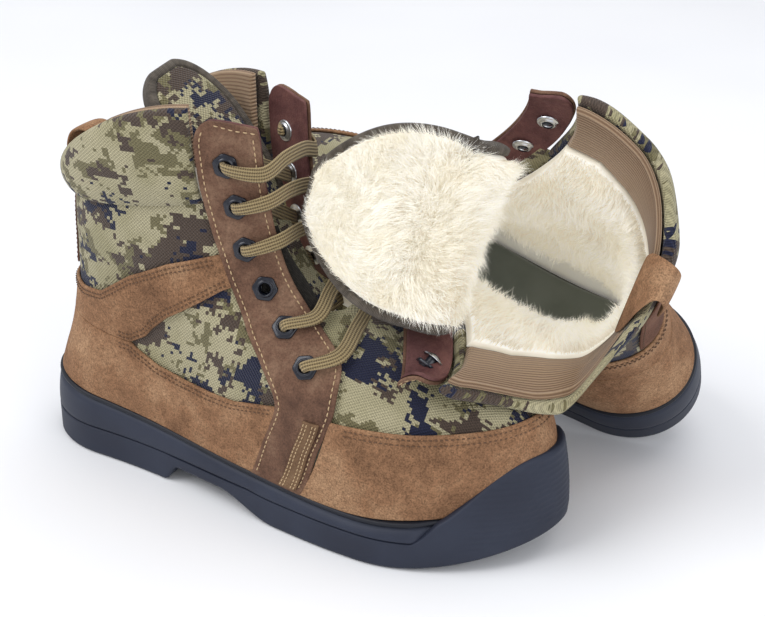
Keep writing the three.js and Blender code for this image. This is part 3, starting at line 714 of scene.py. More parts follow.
def sheepskin(name, root, end, patch, glow=0.0):
    """Hair colour goes from the root tone to the tip tone along each hair, with soft warm patches of noise. On
    the fleece the darker root tone is painted shade deep in the pile.
    A pile this deep and pale passes light from hair to hair; a faint glow stands for that."""
    m = Finish(name, roughness=0.9, sheen=0.5, sheen_tint=(1, 0.98, 0.94, 1), specular=0.2)
    _, _, height = m.split(m.flat())
    # Root to tip: for the fleece the darker root tone is painted shade inside the pile.
    tone = m.ramp(height, [(0.0, root), (0.8, end)])
    cloud = m.ramp(m.noise(m.place(), 45, 3), [(0.42, (0, 0, 0, 1)), (0.7, (1, 1, 1, 1))])
    tone = m.blend(m.math("MULTIPLY", cloud, 0.6), tone, patch)
    m.paint(tone)
    m.shader.inputs["Subsurface Weight"].default_value = 0.15
    m.shader.inputs["Subsurface Radius"].default_value = (0.004, 0.0035, 0.003)
    m.shader.inputs["Subsurface Scale"].default_value = 1.0
    m.put(m.shader, "Emission Color", tone)
    m.shader.inputs["Emission Strength"].default_value = glow
    return m.material


def braided(name, dark, light, width):
    """Lengthwise ribs across the width, crossed by slanting strands every 1.1 mm; the colour follows their
    relief, with painted shade in the grooves.
    """
    m = Finish(name, roughness=0.9, sheen=0.15, specular=0.2)
    x, y, _ = m.split(m.flat())
    rib = m.math("SINE", m.math("MULTIPLY", y, 2 * math.pi * 5 / width))
    zig = m.math("ABSOLUTE", rib)
    strand = m.math("SINE", m.math("ADD", m.math("MULTIPLY", x, 2 * math.pi / 1.1),
                                   m.math("MULTIPLY", zig, 2.2)))
    # Colour from the relief: painted shade in the grooves, lighter on the raised strands.
    tone = m.ramp(m.math("MULTIPLY_ADD", m.math("ADD", rib, m.math("MULTIPLY", strand, 0.6)), 0.3, 0.5),
                  [(0.1, dark), (0.75, light)])
    m.paint(tone)
    m.bump(m.math("ADD", rib, m.math("MULTIPLY", strand, 0.5)), 0.7, 0.0005)
    return m.material


def taped(name, dark, light):
    """Plain woven tape: fine cross ribs, whose hollows are darkened as painted shade, and a little mottling."""
    m = Finish(name, roughness=0.85, sheen=0.1, specular=0.25)
    x, y, _ = m.split(m.flat())
    rib = m.math("MULTIPLY", m.math("SINE", m.math("MULTIPLY", x, 2 * math.pi / 0.8)),
                 m.math("SINE", m.math("MULTIPLY", y, 2 * math.pi / 0.8)))
    # Colour from the ribs, painted shade in their hollows, plus random mottling.
    m.paint(m.ramp(m.math("MULTIPLY_ADD", rib, 0.3, m.noise(m.flat(), 0.5, 3)), [(0.25, dark), (0.8, light)]))
    m.bump(rib, 0.6, 0.0004)
    return m.material


def thread_finish(name, tone):
    """Waxed thread with a slight change of tone from stitch to stitch."""
    m = Finish(name, roughness=0.6, specular=0.4)
    m.paint(m.blend(m.math("MULTIPLY", m.noise(m.place(), 120, 2), 0.5), tone, colour(110, 84, 60)))
    return m.material


knit = knitted()
# The fleece's first tone, at the hair roots, is darker: painted shade deep in the pile.
fleece = sheepskin("cream_fleece", colour(220, 210, 188), colour(254, 252, 245), colour(246, 240, 224), 0.14)
felt = sheepskin("insole_felt", colour(74, 80, 76), colour(120, 126, 120), colour(92, 98, 92))
lace_braid = braided("lace_braid", colour(84, 70, 46), colour(172, 152, 112), 8.0)
binding_tape = taped("binding_tape", colour(62, 56, 50), colour(106, 98, 88))
# The gusset cloth is near black: painted shade behind the facing's holes and in front of its front edge.
gusset_shade_cloth = taped("gusset_shade_cloth", colour(34, 33, 31), colour(66, 62, 56))
pale_thread = thread_finish("pale_thread", colour(206, 178, 138))
brown_thread = thread_finish("brown_thread", colour(84, 58, 40))


def enamel(name, tone, rough, metallic):
    """Glossy metal with faint scuffs in its roughness."""
    m = Finish(name, roughness=rough, metallic=metallic, specular=0.6)
    p = m.place()
    pale = tuple(min(1, c * 1.5 + 0.004) for c in tone[:3]) + (1,)
    m.paint(m.ramp(m.noise(p, 300, 2), [(0.3, tone), (0.8, pale)]))
    m.put(m.shader, "Roughness", m.math("MULTIPLY_ADD", m.noise(p, 500, 3), 0.3, rough - 0.1))
    return m.material


black_enamel = enamel("black_enamel", colour(18, 21, 32), 0.25, 0.2)
bright_nickel = enamel("bright_nickel", colour(190, 192, 196), 0.28, 1.0)
blued_steel = enamel("blued_steel", colour(140, 143, 148), 0.35, 1.0)
fibre_board = nap("fibre_board", colour(120, 96, 66), colour(138, 112, 80), colour(150, 124, 92), 0.3, 0.9, 0.0)
stiff_sheet = moulded("stiff_sheet", colour(44, 40, 38), colour(56, 52, 50), 0.7)

# %% [markdown]
# ## Sole
# The sole is one profile carried round the footprint. From below upward it turns out of the tread, climbs the
# side, dips into the groove between outsole and midsole, and ends in a thin lip under the leather. At the toe
# the outsole climbs much higher as a guard with fine level ridges.

# %% Footprint and sole walls
def half_width(s):
    """Half width of the footprint at length fraction s: a smooth curve, rounded at the heel and at the
    toe."""
    w = spline([39.3, 38.8, 47.4, 54.8, 49.5], 4 * s)
    rise = np.where(s < 0.15, np.sqrt(np.clip((2 - s / 0.15) * s / 0.15, 0, 1)), 1)
    q = np.clip((s - 0.72) / 0.28, 0, 1)
    return w * rise * np.sqrt(np.clip(1 - q * q, 0, 1))


def side_shift(x):
    """The footprint bends inward towards the toe."""
    return TOE_SHIFT * np.clip((x - 150) / 150, 0, 9) ** 2


def floor_height(x):
    """Height of the tread: zero, with a lifted arch and a toe that springs up."""
    arch = 10 * smooth((x - 92) / 9) * (1 - smooth((x - 130) / 36))
    return arch + 15 * np.clip((x - 225) / 75, 0, 9) ** 2


def footprint(count):
    """Closed outline, evenly spaced, with its outward normals, from the heel along the inner side."""
    t = np.linspace(0, 2 * math.pi, 2001)
    s = (1 - np.cos(t)) / 2
    x = s * SOLE_LENGTH
    y = side_shift(x) + np.where(t < math.pi, 1, -1) * half_width(s)
    line = np.stack([x, y], -1)
    length = run_lengths(line, 0)
    at = np.linspace(0, length[-1], count, endpoint=False)
    line = np.stack([np.interp(at, length, line[:, k]) for k in (0, 1)], -1)
    tangent = np.roll(line, -2, 0) - np.roll(line, 2, 0)
    normal = np.stack([tangent[:, 1], -tangent[:, 0]], -1)
    normal /= np.linalg.norm(normal, axis=1, keepdims=True)
    outward = np.sign(np.einsum("ij,ij->i", normal, line - line.mean(0)).sum())
    return line, normal * outward


def feather(x):
    """Height of the line where the leather meets the sole."""
    return spline(FEATHER, 4 * np.clip(x / SOLE_LENGTH, 0, 1))


def seam_height(x):
    """Top of the outsole where the groove runs."""
    return 15 + floor_height(np.maximum(x, 150)) * 0.3


GUARD_FROM = 243


def guard_height(x):
    """Top of the toe guard: from the groove up to 57 mm over the last stretch."""
    return 24 + 33 * smooth((x - 246) / 50)


def draw_in(x):
    """How far the upper rim of the sole draws in under the leather, so that only a narrow ledge shows."""
    return 0.8 * spline([2.8, 1.6, 2.2, 3.6, 4.0], 4 * np.clip(x / SOLE_LENGTH, 0, 1))


def walls(profile, count=720):
    """Surface through a list of (outward offset, height, inward pull) arrays given round the footprint."""
    line, normal = footprint(count)
    rows_ = []
    for out, z, pull in profile(line[:, 0]):
        core = np.stack([line[:, 0], side_shift(line[:, 0])], -1)
        core[:, 0] = 30 + (SOLE_LENGTH - 60) * np.clip(core[:, 0] / SOLE_LENGTH, 0, 1)
        xy = line + normal * np.broadcast_to(out, len(line))[:, None]
        xy = xy + (core - xy) * pull
        rows_.append(np.column_stack([xy, np.broadcast_to(z, len(line))]))
    points = np.stack(rows_, 1)
    faces = grid_faces(count, len(rows_), closed=True)
    return points.reshape(-1, 3), faces


def tread_height(x, y):
    """The tread: blocks 2.2 mm proud, cut by cross grooves every 15 mm that bend back, and one middle
    groove."""
    back = 0.35 * np.abs(y - side_shift(x))
    cross = np.abs(((x + back) / 15) % 1 - 0.5) * 15
    lane = np.minimum(np.abs(np.abs(y - side_shift(x)) - 18), 50)
    cut = np.minimum(smooth((cross - 1.0) / 1.2), smooth((lane - 1.0) / 1.2))
    return 2.2 * (1 - cut)


def outsole_profile(x):
    """Tread from the middle outward, then the side wall up to the groove, or up to the guard's edge."""
    low, top = floor_height(x), seam_height(x)
    guard = smooth((x - GUARD_FROM) / 14)
    rise = np.maximum(top, guard_height(x) * guard + top * (1 - guard))
    thick = 4.2 * guard
    lean = -4.6 * guard * smooth((x - 250) / 36)
    rows_ = [(-1.6, low, 0.02)]
    rows_ += [(-0.6, low + 0.25, 0), (0.0, low + 1.2, 0), (0.0, low + 2.4, 0)]
    for k in np.linspace(0.1, 0.96, 34):
        z = low + 2.4 + (rise - low - 2.4) * k
        ripple = smooth(np.sin(z * 2 * math.pi / 3.1) * 2 - 0.6)
        ridge = -0.35 * guard * ripple * (k > 0.12) * smooth((x - 262) / 10)
        rows_.append((ridge + lean * k ** 2 + 0.35 * guard, z, 0))
    rows_.append((-0.35 + lean, rise - 0.2, 0))
    rows_.append((-1.0 + lean, rise, 0))
    rows_.append((-2.2 - thick * 0.4 + lean, rise - 0.1, 0))
    rows_.append((-2.6 - thick * 0.5 + lean, np.maximum(rise - 3, top - 1.4), 0))
    rows_.append((-6.0 - thick * 0.3, top - 1.4, 0))
    return rows_


def midsole_profile(x):
    """From inside the groove out to the wall, up, and over the lip to the leather."""
    guard = smooth((x - GUARD_FROM) / 12)
    base, top = seam_height(x) + 0.3, feather(x)
    tuck = -4.6 * guard
    rim = draw_in(x) * (1 - guard)
    rows_ = [(-5.5 + tuck, base, 0), (-1.2 + tuck, base, 0), (-0.45 + tuck, base + 0.35, 0),
             (-0.1 + tuck, base + 1.1, 0)]
    for k in np.linspace(0.12, 0.8, 12):
        belly = 0.5 * math.sin(math.pi * k)
        rows_.append((belly + tuck - rim * k, base + 1.1 + (top - base - 4.2) * k, 0))
    rows_ += [(tuck - rim, top - 3.3, 0), (-0.7 + tuck - rim, top - 3.0, 0),
              (-0.9 + tuck - rim, top - 2.6, 0)]
    return rows_


def lip_profile(x):
    """The dark lip between midsole and leather: a half round 2.6 mm high."""
    guard = smooth((x - GUARD_FROM) / 12)
    top = feather(x)
    tuck = -4.4 * guard - draw_in(x) * (1 - guard)
    angle = np.linspace(-math.pi / 2, math.pi / 2, 9)
    rows_ = [(-6.0 + tuck, top - 2.7, 0)]
    rows_ += [(-1.2 + 1.5 * math.cos(a) + tuck, top - 1.2 + 1.4 * math.sin(a), 0) for a in angle]
    rows_ += [(-8.0 + tuck, top + 0.2, 0)]
    return rows_


def bottom():
    """The tread surface: a grid over the footprint, s along and w across, lifted by the tread pattern."""
    s = np.linspace(0.0005, 0.9995, 420)
    w = np.linspace(-1, 1, 121)
    ss, ww = np.meshgrid(s, w, indexing="ij")
    x = 1.6 + ss * (SOLE_LENGTH - 3.2)
    y = side_shift(x) + ww * np.maximum(half_width(ss) - 1.6, 0)
    rim = np.minimum(1, (1 - np.abs(ww)) * half_width(ss) / 4)
    z = floor_height(x) + tread_height(x, y) * (0.15 + 0.85 * smooth(rim * 1.5))
    return np.stack([x, y, z], -1).reshape(-1, 3), grid_faces(*ss.shape)


wall_points, wall_faces = walls(outsole_profile)
tread_points, tread_faces = bottom()
for foot, pose in POSES.items():
    turned = foot == "left"
    wall = pose(wall_points)
    tread = pose(tread_points)
    faces = np.vstack([wall_faces, tread_faces + len(wall_points)])
    faces = faces[:, ::-1] if turned else faces
    sole = build(f"{foot}_outsole_look", np.vstack([wall, tread]), faces, sole_rubber)
    fit(sole, f"{foot}_boot", [f"{foot}_outsole"])
    points, faces = walls(midsole_profile)
    faces = faces[:, ::-1] if turned else faces
    midsole = build(f"{foot}_midsole_look", pose(points), faces, midsole_rubber)
    fit(midsole, f"{foot}_boot", [f"{foot}_midsole"])
    points, faces = walls(lip_profile)
    faces = faces[:, ::-1] if turned else faces
    fit(build(f"{foot}_sole_lip", pose(points), faces, edge_rubber), f"{foot}_boot")
print("sole:", len(wall_points), "wall and", len(tread_points), "tread vertices for each boot")

# %% [markdown]
# ## Upper
# Cloth lies on the skin, leather lies a layer above it. Leather panels are thicker, and their edges are
# turned or cut clean. The quarter and the vamp swell a little between their seams, because there is fleece
# behind.

# %% Cloth and leather panels
def dent(scale, depth, seed):
    """A relief of slow waves: the sum of three sines with seeded directions and phases."""
    rng = np.random.default_rng(seed)
    turns = rng.uniform(0, 2 * math.pi, (3, 2))

    def relief(a, b, near):
        total = sum(np.sin((a * math.cos(d) + b * math.sin(d)) / scale + p) for d, p in turns)
        return depth * total / 3

    return relief


both("quarter", cloth,
     panel(round_heel(BASE_ROW, [(x, z + 4.8) for x, z in COLLAR_SEAM], rear_edge(0.11)), -0.7, 0.6,
           relief=dent(9, 0.6, 1)))
both("vamp", cloth,
     panel(round_toe((192, 67), [(x, z - 2) for x, z in RAND_TOP], (186, 99), level(111)), -0.7, 0.6,
           relief=dent(12, 0.5, 2), lay=lay_toe))
both("toe_rand", suede,
     panel(round_toe((181, 26), BASE_ROW, (197, 70), RAND_TOP), 1.2, 3.1, edge=1.0, relief=dent(14, 0.35, 3),
           lay=lay_toe))


def counter_shape():
    """The heel counter in two strips that meet behind the window: below it and above it."""
    low = panel(round_heel(BASE_ROW, WINDOW_LOW, rear_edge(0.02)), 1.2, 3.0, edge=0.9, relief=dent(13, 0.3, 4))
    high = panel(round_heel(WINDOW_HIGH, COUNTER_TOP, rear_edge(0.02)), 1.2, 3.0, edge=0.9,
                 relief=dent(13, 0.3, 5))
    faces = np.vstack([low[1], high[1] + len(low[0])])
    return np.vstack([low[0], high[0]]), faces, np.vstack([low[2], high[2]])


both("heel_counter", suede, counter_shape())
both("back_strip", dark_suede,
     panel(round_heel(level(101), level(143), fixed_edge((25, 120))), 1.5, 3.0))


def collar_swell(u, w):
    """Outer height of the padded collar: 1.2 mm plus a pad up to 7 mm, held down at the heel and at the
    ends."""
    run = np.abs(2 * u - 1)
    pad = 7 * np.sin(math.pi * w) ** 0.5 * (1 - 0.6 * run ** 6) * (0.3 + 0.7 * smooth(run * 4))
    crease = 0.9 * np.sin(w * 9 + 7 * run) * np.exp(-((run - 0.93) / 0.12) ** 2)
    return 1.2 + pad + crease * np.sin(math.pi * w)


for pad in both("collar_pad", cloth,
                panel(round_heel([(x, z + 3.6) for x, z in COLLAR_SEAM], RIM_ROW, rear_edge(-0.03)), -2.6,
                      collar_swell, edge=2.0, relief=dent(8, 0.6, 6), lay=lay_collar)):
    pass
both("fleece_lining", fleece,
     panel(round_heel(BASE_ROW, CUFF_SEAM, rear_edge(-0.05)), -8.8, -4.2, fine=2.2))
both("vamp_lining", fleece,
     panel(round_toe((178, 26), BASE_ROW, (190, 92), level(107)), -8.8, -4.2, fine=2.4, lay=lay_toe))


RIBS = 17


def lay_cuff(base, u):
    """Length along the rim, and a width that counts the ribs, 2.2 mm to each, so that they draw together at
    the heel as the band gets narrow."""
    rise = np.linspace(0, 1, base.shape[1]) * np.ones_like(base[..., 2])
    return run_lengths(base, 0), rise * 2.2 * RIBS


def cuff_shape():
    """The rib knit: 17 ribs run along the rim on its inner sheet, r = 0.35 sin(2 pi 17 w); it bulges over the
    rim."""
    patch = round_heel([(x, z + 1.5) for x, z in CUFF_SEAM], RIM_ROW, rear_edge(-0.05))
    inner = lambda u, w: -7.2 - 1.2 * np.sin(math.pi * w) ** 0.8 + 0.35 * np.sin(2 * math.pi * RIBS * w)
    return panel(patch, inner, -4.0, fine=(1.1, 0.35), edge=1.2, lay=lay_cuff)


both("knit_cuff", knit, cuff_shape())
for side, name in ((-1, "outer"), (1, "inner")):
    both(f"strap_{name}", strap_hide,
         panel(on_side(side, STRAP_REAR, STRAP_FRONT), 3.5, 5.1,
               fine=0.9, edge=0.8, lay=lay_side))

# %% [markdown]
# ## Lace facings, their lining and the eyelets
# The facings are strips of nubuck with six holes each. A plum leather lines them, which shows on the opened
# boot, and a strip of near-black gusset cloth lies behind the outer one; its dark tone is painted shade, seen
# through the holes and in the gap in front of the facing. Each eyelet is a hexagonal black washer on the
# outside and a rolled nickel ring on the inside.

# %% Facings
def hole_frames(side, pose):
    """Centre, outward axis and up-the-shaft direction of each lace hole of one side, after the pose."""
    t, v = locate(EYELETS)
    base = skin_out(side, t, v, np.zeros(6))
    top = skin_out(side, t, v, np.ones(6))
    ahead = np.vstack([base[1:], 2 * base[-1:] - base[-2:-1]])
    centre = pose(base)
    axis = pose(top) - centre
    axis /= np.linalg.norm(axis, axis=1, keepdims=True)
    shaft = pose(ahead) - centre
    shaft -= axis * np.einsum("ij,ij->i", shaft, axis)[:, None]
    shaft /= np.linalg.norm(shaft, axis=1, keepdims=True)
    return centre, axis, shaft


def with_holes(shape, side, radius):
    """Takes out the faces nearer than a radius to a hole's axis."""
    points, faces, flat = shape
    centre, axis, _ = hole_frames(side, standing)
    middle = points[faces].mean(1)
    keep = np.ones(len(faces), bool)
    for c, a in zip(centre, axis):
        away = middle - c
        away -= np.outer(away @ a, a)
        keep &= np.linalg.norm(away, axis=1) > radius
    return points, faces[keep], flat


FACING = {}
for side, name in ((-1, "outer"), (1, "inner")):
    FACING[side] = on_side(side, FACING_REAR, FACING_FRONT, 0.05)
    shape = panel(FACING[side], 1.5, 3.3, fine=1.0, edge=0.9, relief=dent(11, 0.3, 7), lay=lay_side)
    both(f"facing_{name}", nubuck, with_holes(shape, side, 3.6))
    lining = on_side(side, [(x + 1, z) for x, z in FACING_REAR[4:]],
                     [(x - 0.6, z) for x, z in FACING_FRONT[4:]], 0.08)
    shape = panel(lining, -0.6, 1.1, fine=1.2, edge=0.8, relief=dent(9, 0.25, 8), lay=lay_side)
    both(f"facing_lining_{name}", flap_lining, with_holes(shape, side, 3.4), replaces=False)


# A near-black sheet behind the outer facing: its dark tone is painted shade, seen through the holes and in the
# gap in front of the facing.
behind = on_side(-1, [(x + 4, z) for x, z in FACING_REAR[2:8]], [(x + 6, z) for x, z in FACING_FRONT[2:8]])
points, faces, flat = panel(behind, -3.2, -2.2, fine=2.0, edge=0.6, lay=lay_side)
gusset_shade = build("right_gusset_shade", points, facing_out(points, faces), gusset_shade_cloth, flat)
fit(gusset_shade, "right_boot")


def turned(centre, axis, shaft, profile, count, hexagon):
    """A profile of (radius, height, hexagon share) turned about the axis; the hexagon share mixes the circle
    with a hexagon of the same flats, whose radius is r cos 30 / cos(angle from the middle of its side)."""
    angle = np.linspace(0, 2 * math.pi, count, endpoint=False)
    part = (angle % (math.pi / 3)) - math.pi / 6
    six = math.cos(math.pi / 6) / np.cos(part) * 1.06
    r, h, share = np.array(profile, float).T
    radius = r[None] * (1 + (np.minimum(six, 1.0)[:, None] - 1) * share[None] * hexagon)
    aside = np.cross(axis, shaft)
    ring = np.cos(angle)[:, None, None] * shaft + np.sin(angle)[:, None, None] * aside
    points = centre + ring * radius[..., None] + axis * h[None, :, None]
    return points.reshape(-1, 3), grid_faces(count, len(profile), closed=True)


WASHER = [(2.7, -2.6, 0), (2.7, 3.4, 0), (2.8, 4.6, 0), (3.1, 5.3, 0), (3.5, 5.55, 0), (4.0, 5.4, 0),
          (4.3, 4.9, 0),
          (4.6, 4.75, 0.3), (5.7, 4.75, 1), (6.15, 4.6, 1), (6.4, 4.25, 1), (6.45, 3.7, 1), (6.3, 3.2, 1)]
BACKING = [(2.5, 1.0, 0), (2.5, -1.2, 0), (2.7, -1.9, 0), (3.2, -2.2, 0), (3.8, -2.0, 0), (4.3, -1.4, 0),
           (4.7, -1.25, 0), (5.2, -1.3, 0), (5.5, -1.1, 0), (5.6, -0.5, 0)]
for side, name in ((-1, "outer"), (1, "inner")):
    for foot, pose in POSES.items():
        frames = list(zip(*hole_frames(side, pose)))
        for profile, word, finish, count in ((WASHER, "washers", black_enamel, 48),
                                             (BACKING, "backs", bright_nickel, 36)):
            points, faces, total = [], [], 0
            for centre, axis, shaft in frames:
                p, f = turned(centre, axis, shaft, profile, count, 1.0)
                points.append(p)
                faces.append(f + total)
                total += len(p)
            nodes = [f"{foot}_eyelets_{name}"] if word == "washers" else ()
            piece = build(f"{foot}_eyelet_{word}_{name}", np.vstack(points), np.vstack(faces), finish)
            fit(piece, f"{foot}_boot", nodes)
print("eyelets: 12 washers and 12 backs for each boot")

# %% [markdown]
# ## Stitching
# A seam is a row of short waxed stitches, each a small spindle that dips into the hide at both ends. The rows
# follow the panels' edges at a set distance, so they stay parallel to them on every curve.

# %% Stitch rows
SPINDLE_X = np.array([-0.5, -0.34, 0.0, 0.34, 0.5])
SPINDLE_R = np.array([0.25, 0.8, 1.0, 0.8, 0.25])
SPINDLE_Z = np.array([-0.55, -0.05, 0.12, -0.05, -0.55])


def stitches(line, normal, pitch, long, thick):
    """Spindles along a line: at each multiple of the pitch a ring surface of five rings of six points,
    stretched along the line's direction, its ends let down below the surface."""
    length = run_lengths(line, 0)
    count = max(1, int(length[-1] / pitch))
    at = (np.arange(count) + 0.5) * length[-1] / count
    sample = lambda a: np.stack([np.interp(at, length, a[:, k]) for k in range(3)], -1)
    centre, up = sample(line), sample(normal)
    tangent = sample(np.gradient(line, axis=0))
    tangent /= np.linalg.norm(tangent, axis=1, keepdims=True) + 1e-9
    up -= tangent * np.einsum("ij,ij->i", up, tangent)[:, None]
    up /= np.linalg.norm(up, axis=1, keepdims=True) + 1e-9
    aside = np.cross(tangent, up)
    angle = np.arange(6) * math.pi / 3
    ring = np.cos(angle)[None, :, None] * aside[:, None] + np.sin(angle)[None, :, None] * up[:, None]
    points = (centre[:, None, None] + tangent[:, None, None] * (SPINDLE_X * long)[None, :, None, None]
              + ring[:, None] * (SPINDLE_R * thick)[None, :, None, None]
              + up[:, None, None] * (SPINDLE_Z * thick * 2)[None, :, None, None])
    index = np.arange(30).reshape(5, 6)
    index = np.hstack([index, index[:, :1]])
    quads = np.stack([index[:-1, :-1], index[1:, :-1], index[1:, 1:], index[:-1, 1:]], -1).reshape(-1, 4)
    caps = np.array([[0, 1, 2, 3], [0, 3, 4, 5], [27, 26, 25, 24], [29, 28, 27, 24]])
    one = np.vstack([quads, caps])
    faces = (one[None] + (np.arange(count) * 30)[:, None, None]).reshape(-1, 4)
    return points.reshape(-1, 3), faces


def edge_row(patch, edge, inset, start=0.02, end=0.98, count=160):
    """Side, t and v along a row at a set distance inside an edge: the way in is walked in forty small
    steps, and the parameter is read where their added length reaches the inset."""
    q = np.linspace(start, end, count)
    place = {
        "rear": lambda a: (a, q), "front": lambda a: (1 - a, q),
        "low": lambda a: (q, a), "high": lambda a: (q, 1 - a),
    }[edge]
    way = np.linspace(0, 0.5, 41)
    lines = np.stack([skin(*patch(*np.broadcast_arrays(*place(np.full_like(q, a))))) for a in way])
    gone = run_lengths(lines, 0)
    reached = np.array([np.interp(inset, gone[:, i], way) for i in range(count)])
    return patch(*place(reached))


SEAMS = {"pale": [], "brown": []}
BROWN_SEAM = {"pitch": 2.6, "long": 1.7, "thick": 0.34}


def sew(tone, patch, edge, insets, out, pitch=3.1, long=2.3, thick=0.36, **part):
    """Notes rows of stitches along one edge of a patch."""
    for inset in insets:
        side, t, v = edge_row(patch, edge, inset, **part)
        SEAMS[tone].append((side, t, v, out, pitch, long, thick))


for side in (-1, 1):
    for edge in ("rear", "front"):
        sew("pale", FACING[side], edge, [3.0], 3.45)
    sew("pale", FACING[side], "high", [3.0], 3.45, start=0.12, end=0.88, count=40)
    strap = on_side(side, STRAP_REAR, STRAP_FRONT)
    sew("pale", strap, "rear", [1.1, 2.9], 5.25, pitch=2.4, long=1.8, thick=0.3)
    sew("pale", strap, "front", [1.1, 2.9], 5.25, pitch=2.4, long=1.8, thick=0.3)
rand = round_toe((184, 26), BASE_ROW, (200, 70), RAND_TOP)
sew("brown", rand, "high", [2.2, 4.8], 3.35, **BROWN_SEAM, count=500)
counter_low = round_heel(BASE_ROW, WINDOW_LOW, rear_edge(0.02))
counter_high = round_heel(WINDOW_HIGH, COUNTER_TOP, rear_edge(0.02))
for a, b in ((0.01, 0.24), (0.76, 0.99)):
    sew("brown", counter_low, "high", [2.0, 4.4], 3.35, **BROWN_SEAM, start=a, end=b)
    sew("brown", counter_high, "low", [2.0, 4.4], 3.35, **BROWN_SEAM, start=a, end=b)
sew("brown", counter_high, "high", [2.0, 4.4], 3.35, **BROWN_SEAM, count=400)
back_seam = round_heel(level(101), level(143), fixed_edge((25, 120)))
for edge in ("rear", "front"):
    sew("brown", back_seam, edge, [1.6], 3.15, pitch=2.6, long=1.8, thick=0.3)
for foot, pose in POSES.items():
    for tone, finish in (("pale", pale_thread), ("brown", brown_thread)):
        points, faces, total = [], [], 0
        for side, t, v, out, pitch, long, thick in SEAMS[tone]:
            line = pose(skin_out(side, t, v, np.full(len(t), out)))
            over = pose(skin_out(side, t, v, np.full(len(t), out + 1.0)))
            p, f = stitches(line, over - line, pitch, long, thick)
            points.append(p)
            faces.append(f + total)
            total += len(p)
        piece = build(f"{foot}_{tone}_stitches", np.vstack(points), np.vstack(faces), finish)
        fit(piece, f"{foot}_boot")
        print(f"{foot} {tone} stitches: {total // 30}")

# %% [markdown]
# ## Ribbons: pull tab, tongue and lace
# A ribbon is a path with a width direction. The path is a smooth curve through listed points, with knots spaced
# by the square root of their distance so that it never loops, and it is walked at even steps.

# %% Curves through points
def curve_through(points, count):
    """Centripetal Catmull-Rom curve: on each span a cubic whose end slopes come from knots spaced by the
    square root of the distance; then `count` points at even lengths. Returns the points and the curve's
    length."""
    p = np.asarray(points, float)
    p = np.vstack([2 * p[0] - p[1], p, 2 * p[-1] - p[-2]])
    knots = np.maximum(np.linalg.norm(np.diff(p, axis=0), axis=1) ** 0.5, 1e-4)
    d0, d1, d2 = knots[:-2, None], knots[1:-1, None], knots[2:, None]
    a, b, c, d = p[:-3], p[1:-2], p[2:-1], p[3:]
    m1 = ((b - a) / d0 - (c - a) / (d0 + d1) + (c - b) / d1) * d1
    m2 = ((c - b) / d1 - (d - b) / (d1 + d2) + (d - c) / d2) * d1
    k = np.linspace(0, 1, 60, endpoint=False)[:, None, None]
    line = b + m1 * k + (3 * (c - b) - 2 * m1 - m2) * k ** 2 + (2 * (b - c) + m1 + m2) * k ** 3
    line = np.vstack([line.transpose(1, 0, 2).reshape(-1, 3), p[-2]])
    length = run_lengths(line, 0)
    at = np.linspace(0, length[-1], count)
    return np.stack([np.interp(at, length, line[:, j]) for j in range(3)], -1), length[-1]


def unit(v):
    """Vectors divided by their length."""
    return v / (np.linalg.norm(v, axis=-1, keepdims=True) + 1e-9)


def ribbon(line, wide, width, thick, columns=9):
    """Closed band: across it the section is a flat oval, y = width/2 sin q, z = thick/2 of a fourth-power
    round."""
    tangent = unit(np.gradient(line, axis=0))
    wide = unit(wide - tangent * np.einsum("ij,ij->i", wide, tangent)[:, None])
    up = np.cross(tangent, wide)
    q = np.linspace(0, 2 * math.pi, 4 * columns, endpoint=False)
    y = np.sin(q)
    z = np.sign(np.cos(q)) * np.abs(np.cos(q)) ** 0.5
    width, thick = np.broadcast_to(width, len(line)), np.broadcast_to(thick, len(line))
    points = (line[:, None] + wide[:, None] * (y[None] * width[:, None] / 2)[..., None]
              + up[:, None] * (z[None] * thick[:, None] / 2)[..., None])
    n, m = len(line), len(q)
    faces = grid_faces(m, n, closed=True)
    order = np.arange(n * m).reshape(n, m).T.ravel()
    faces = order[faces]
    ends = [np.arange(m)[::-1], (n - 1) * m + np.arange(m)]
    caps = []
    for ring in ends:
        for i in range(1, m // 2):
            caps.append([ring[i - 1], ring[i], ring[m - 1 - i], ring[(m - i) % m]])
    flat_x = run_lengths(line, 0)
    flat = np.stack([np.repeat(flat_x, m), np.tile(y, n) * np.repeat(width, m) / 2, np.ones(n * m)], -1)
    return points.reshape(-1, 3), np.vstack([faces, np.array(caps)]), flat


TAB = [(19.6, 0, 150), (18.6, 0, 160), (19, 0, 168), (22.5, 0, 174), (30, 0, 176.2),
       (37, 0, 173), (39.6, 0, 166)]
tab_line = curve_through([(x - 0.6, y, z) for x, y, z in TAB], 60)[0]
tab_wide = np.tile([0.0, 1.0, 0.0], (60, 1))
both("pull_tab", suede, ribbon(tab_line, tab_wide, 18.0, 2.2, 12))

# %% [markdown]
# ## Tongues
# A tongue is cloth in front and sheepskin behind, with a bound edge. The standing boot's tongue follows the
# laces; the opened boot's tongue is pulled out and folded back, so its sheepskin shows.

# %% Tongue plates
TONGUES = {
    "right": {
        "path": [(172, 0, 106), (157, 0, 120), (142, 0, 141), (127, 0, 168), (106, -3, 194), (82, -5, 214)],
        "across": [(0, -1, 0), (-0.1, -1, 0), (-0.3, -1, 0)], "half": [6, 10, 12, 15, 19, 25], "bend": 0.006,
        "cap": 38, "inside_out": False},
    "left": {
        "path": [(178, 72, 132), (200, 52, 145), (222, 35, 151), (238, 19, 154), (240, 6, 157), (227, 0, 161),
                 (197, -4, 165.5), (168, -6, 168.5)],
        "across": [(-0.13, -0.73, -0.67), (-0.1, -0.62, -0.76), (-0.06, -0.5, -0.86), (-0.02, -0.37, -0.93)],
        "half": [9, 17, 30, 39, 42, 43, 42, 36], "bend": 0.001, "cap": 55, "inside_out": True},
}


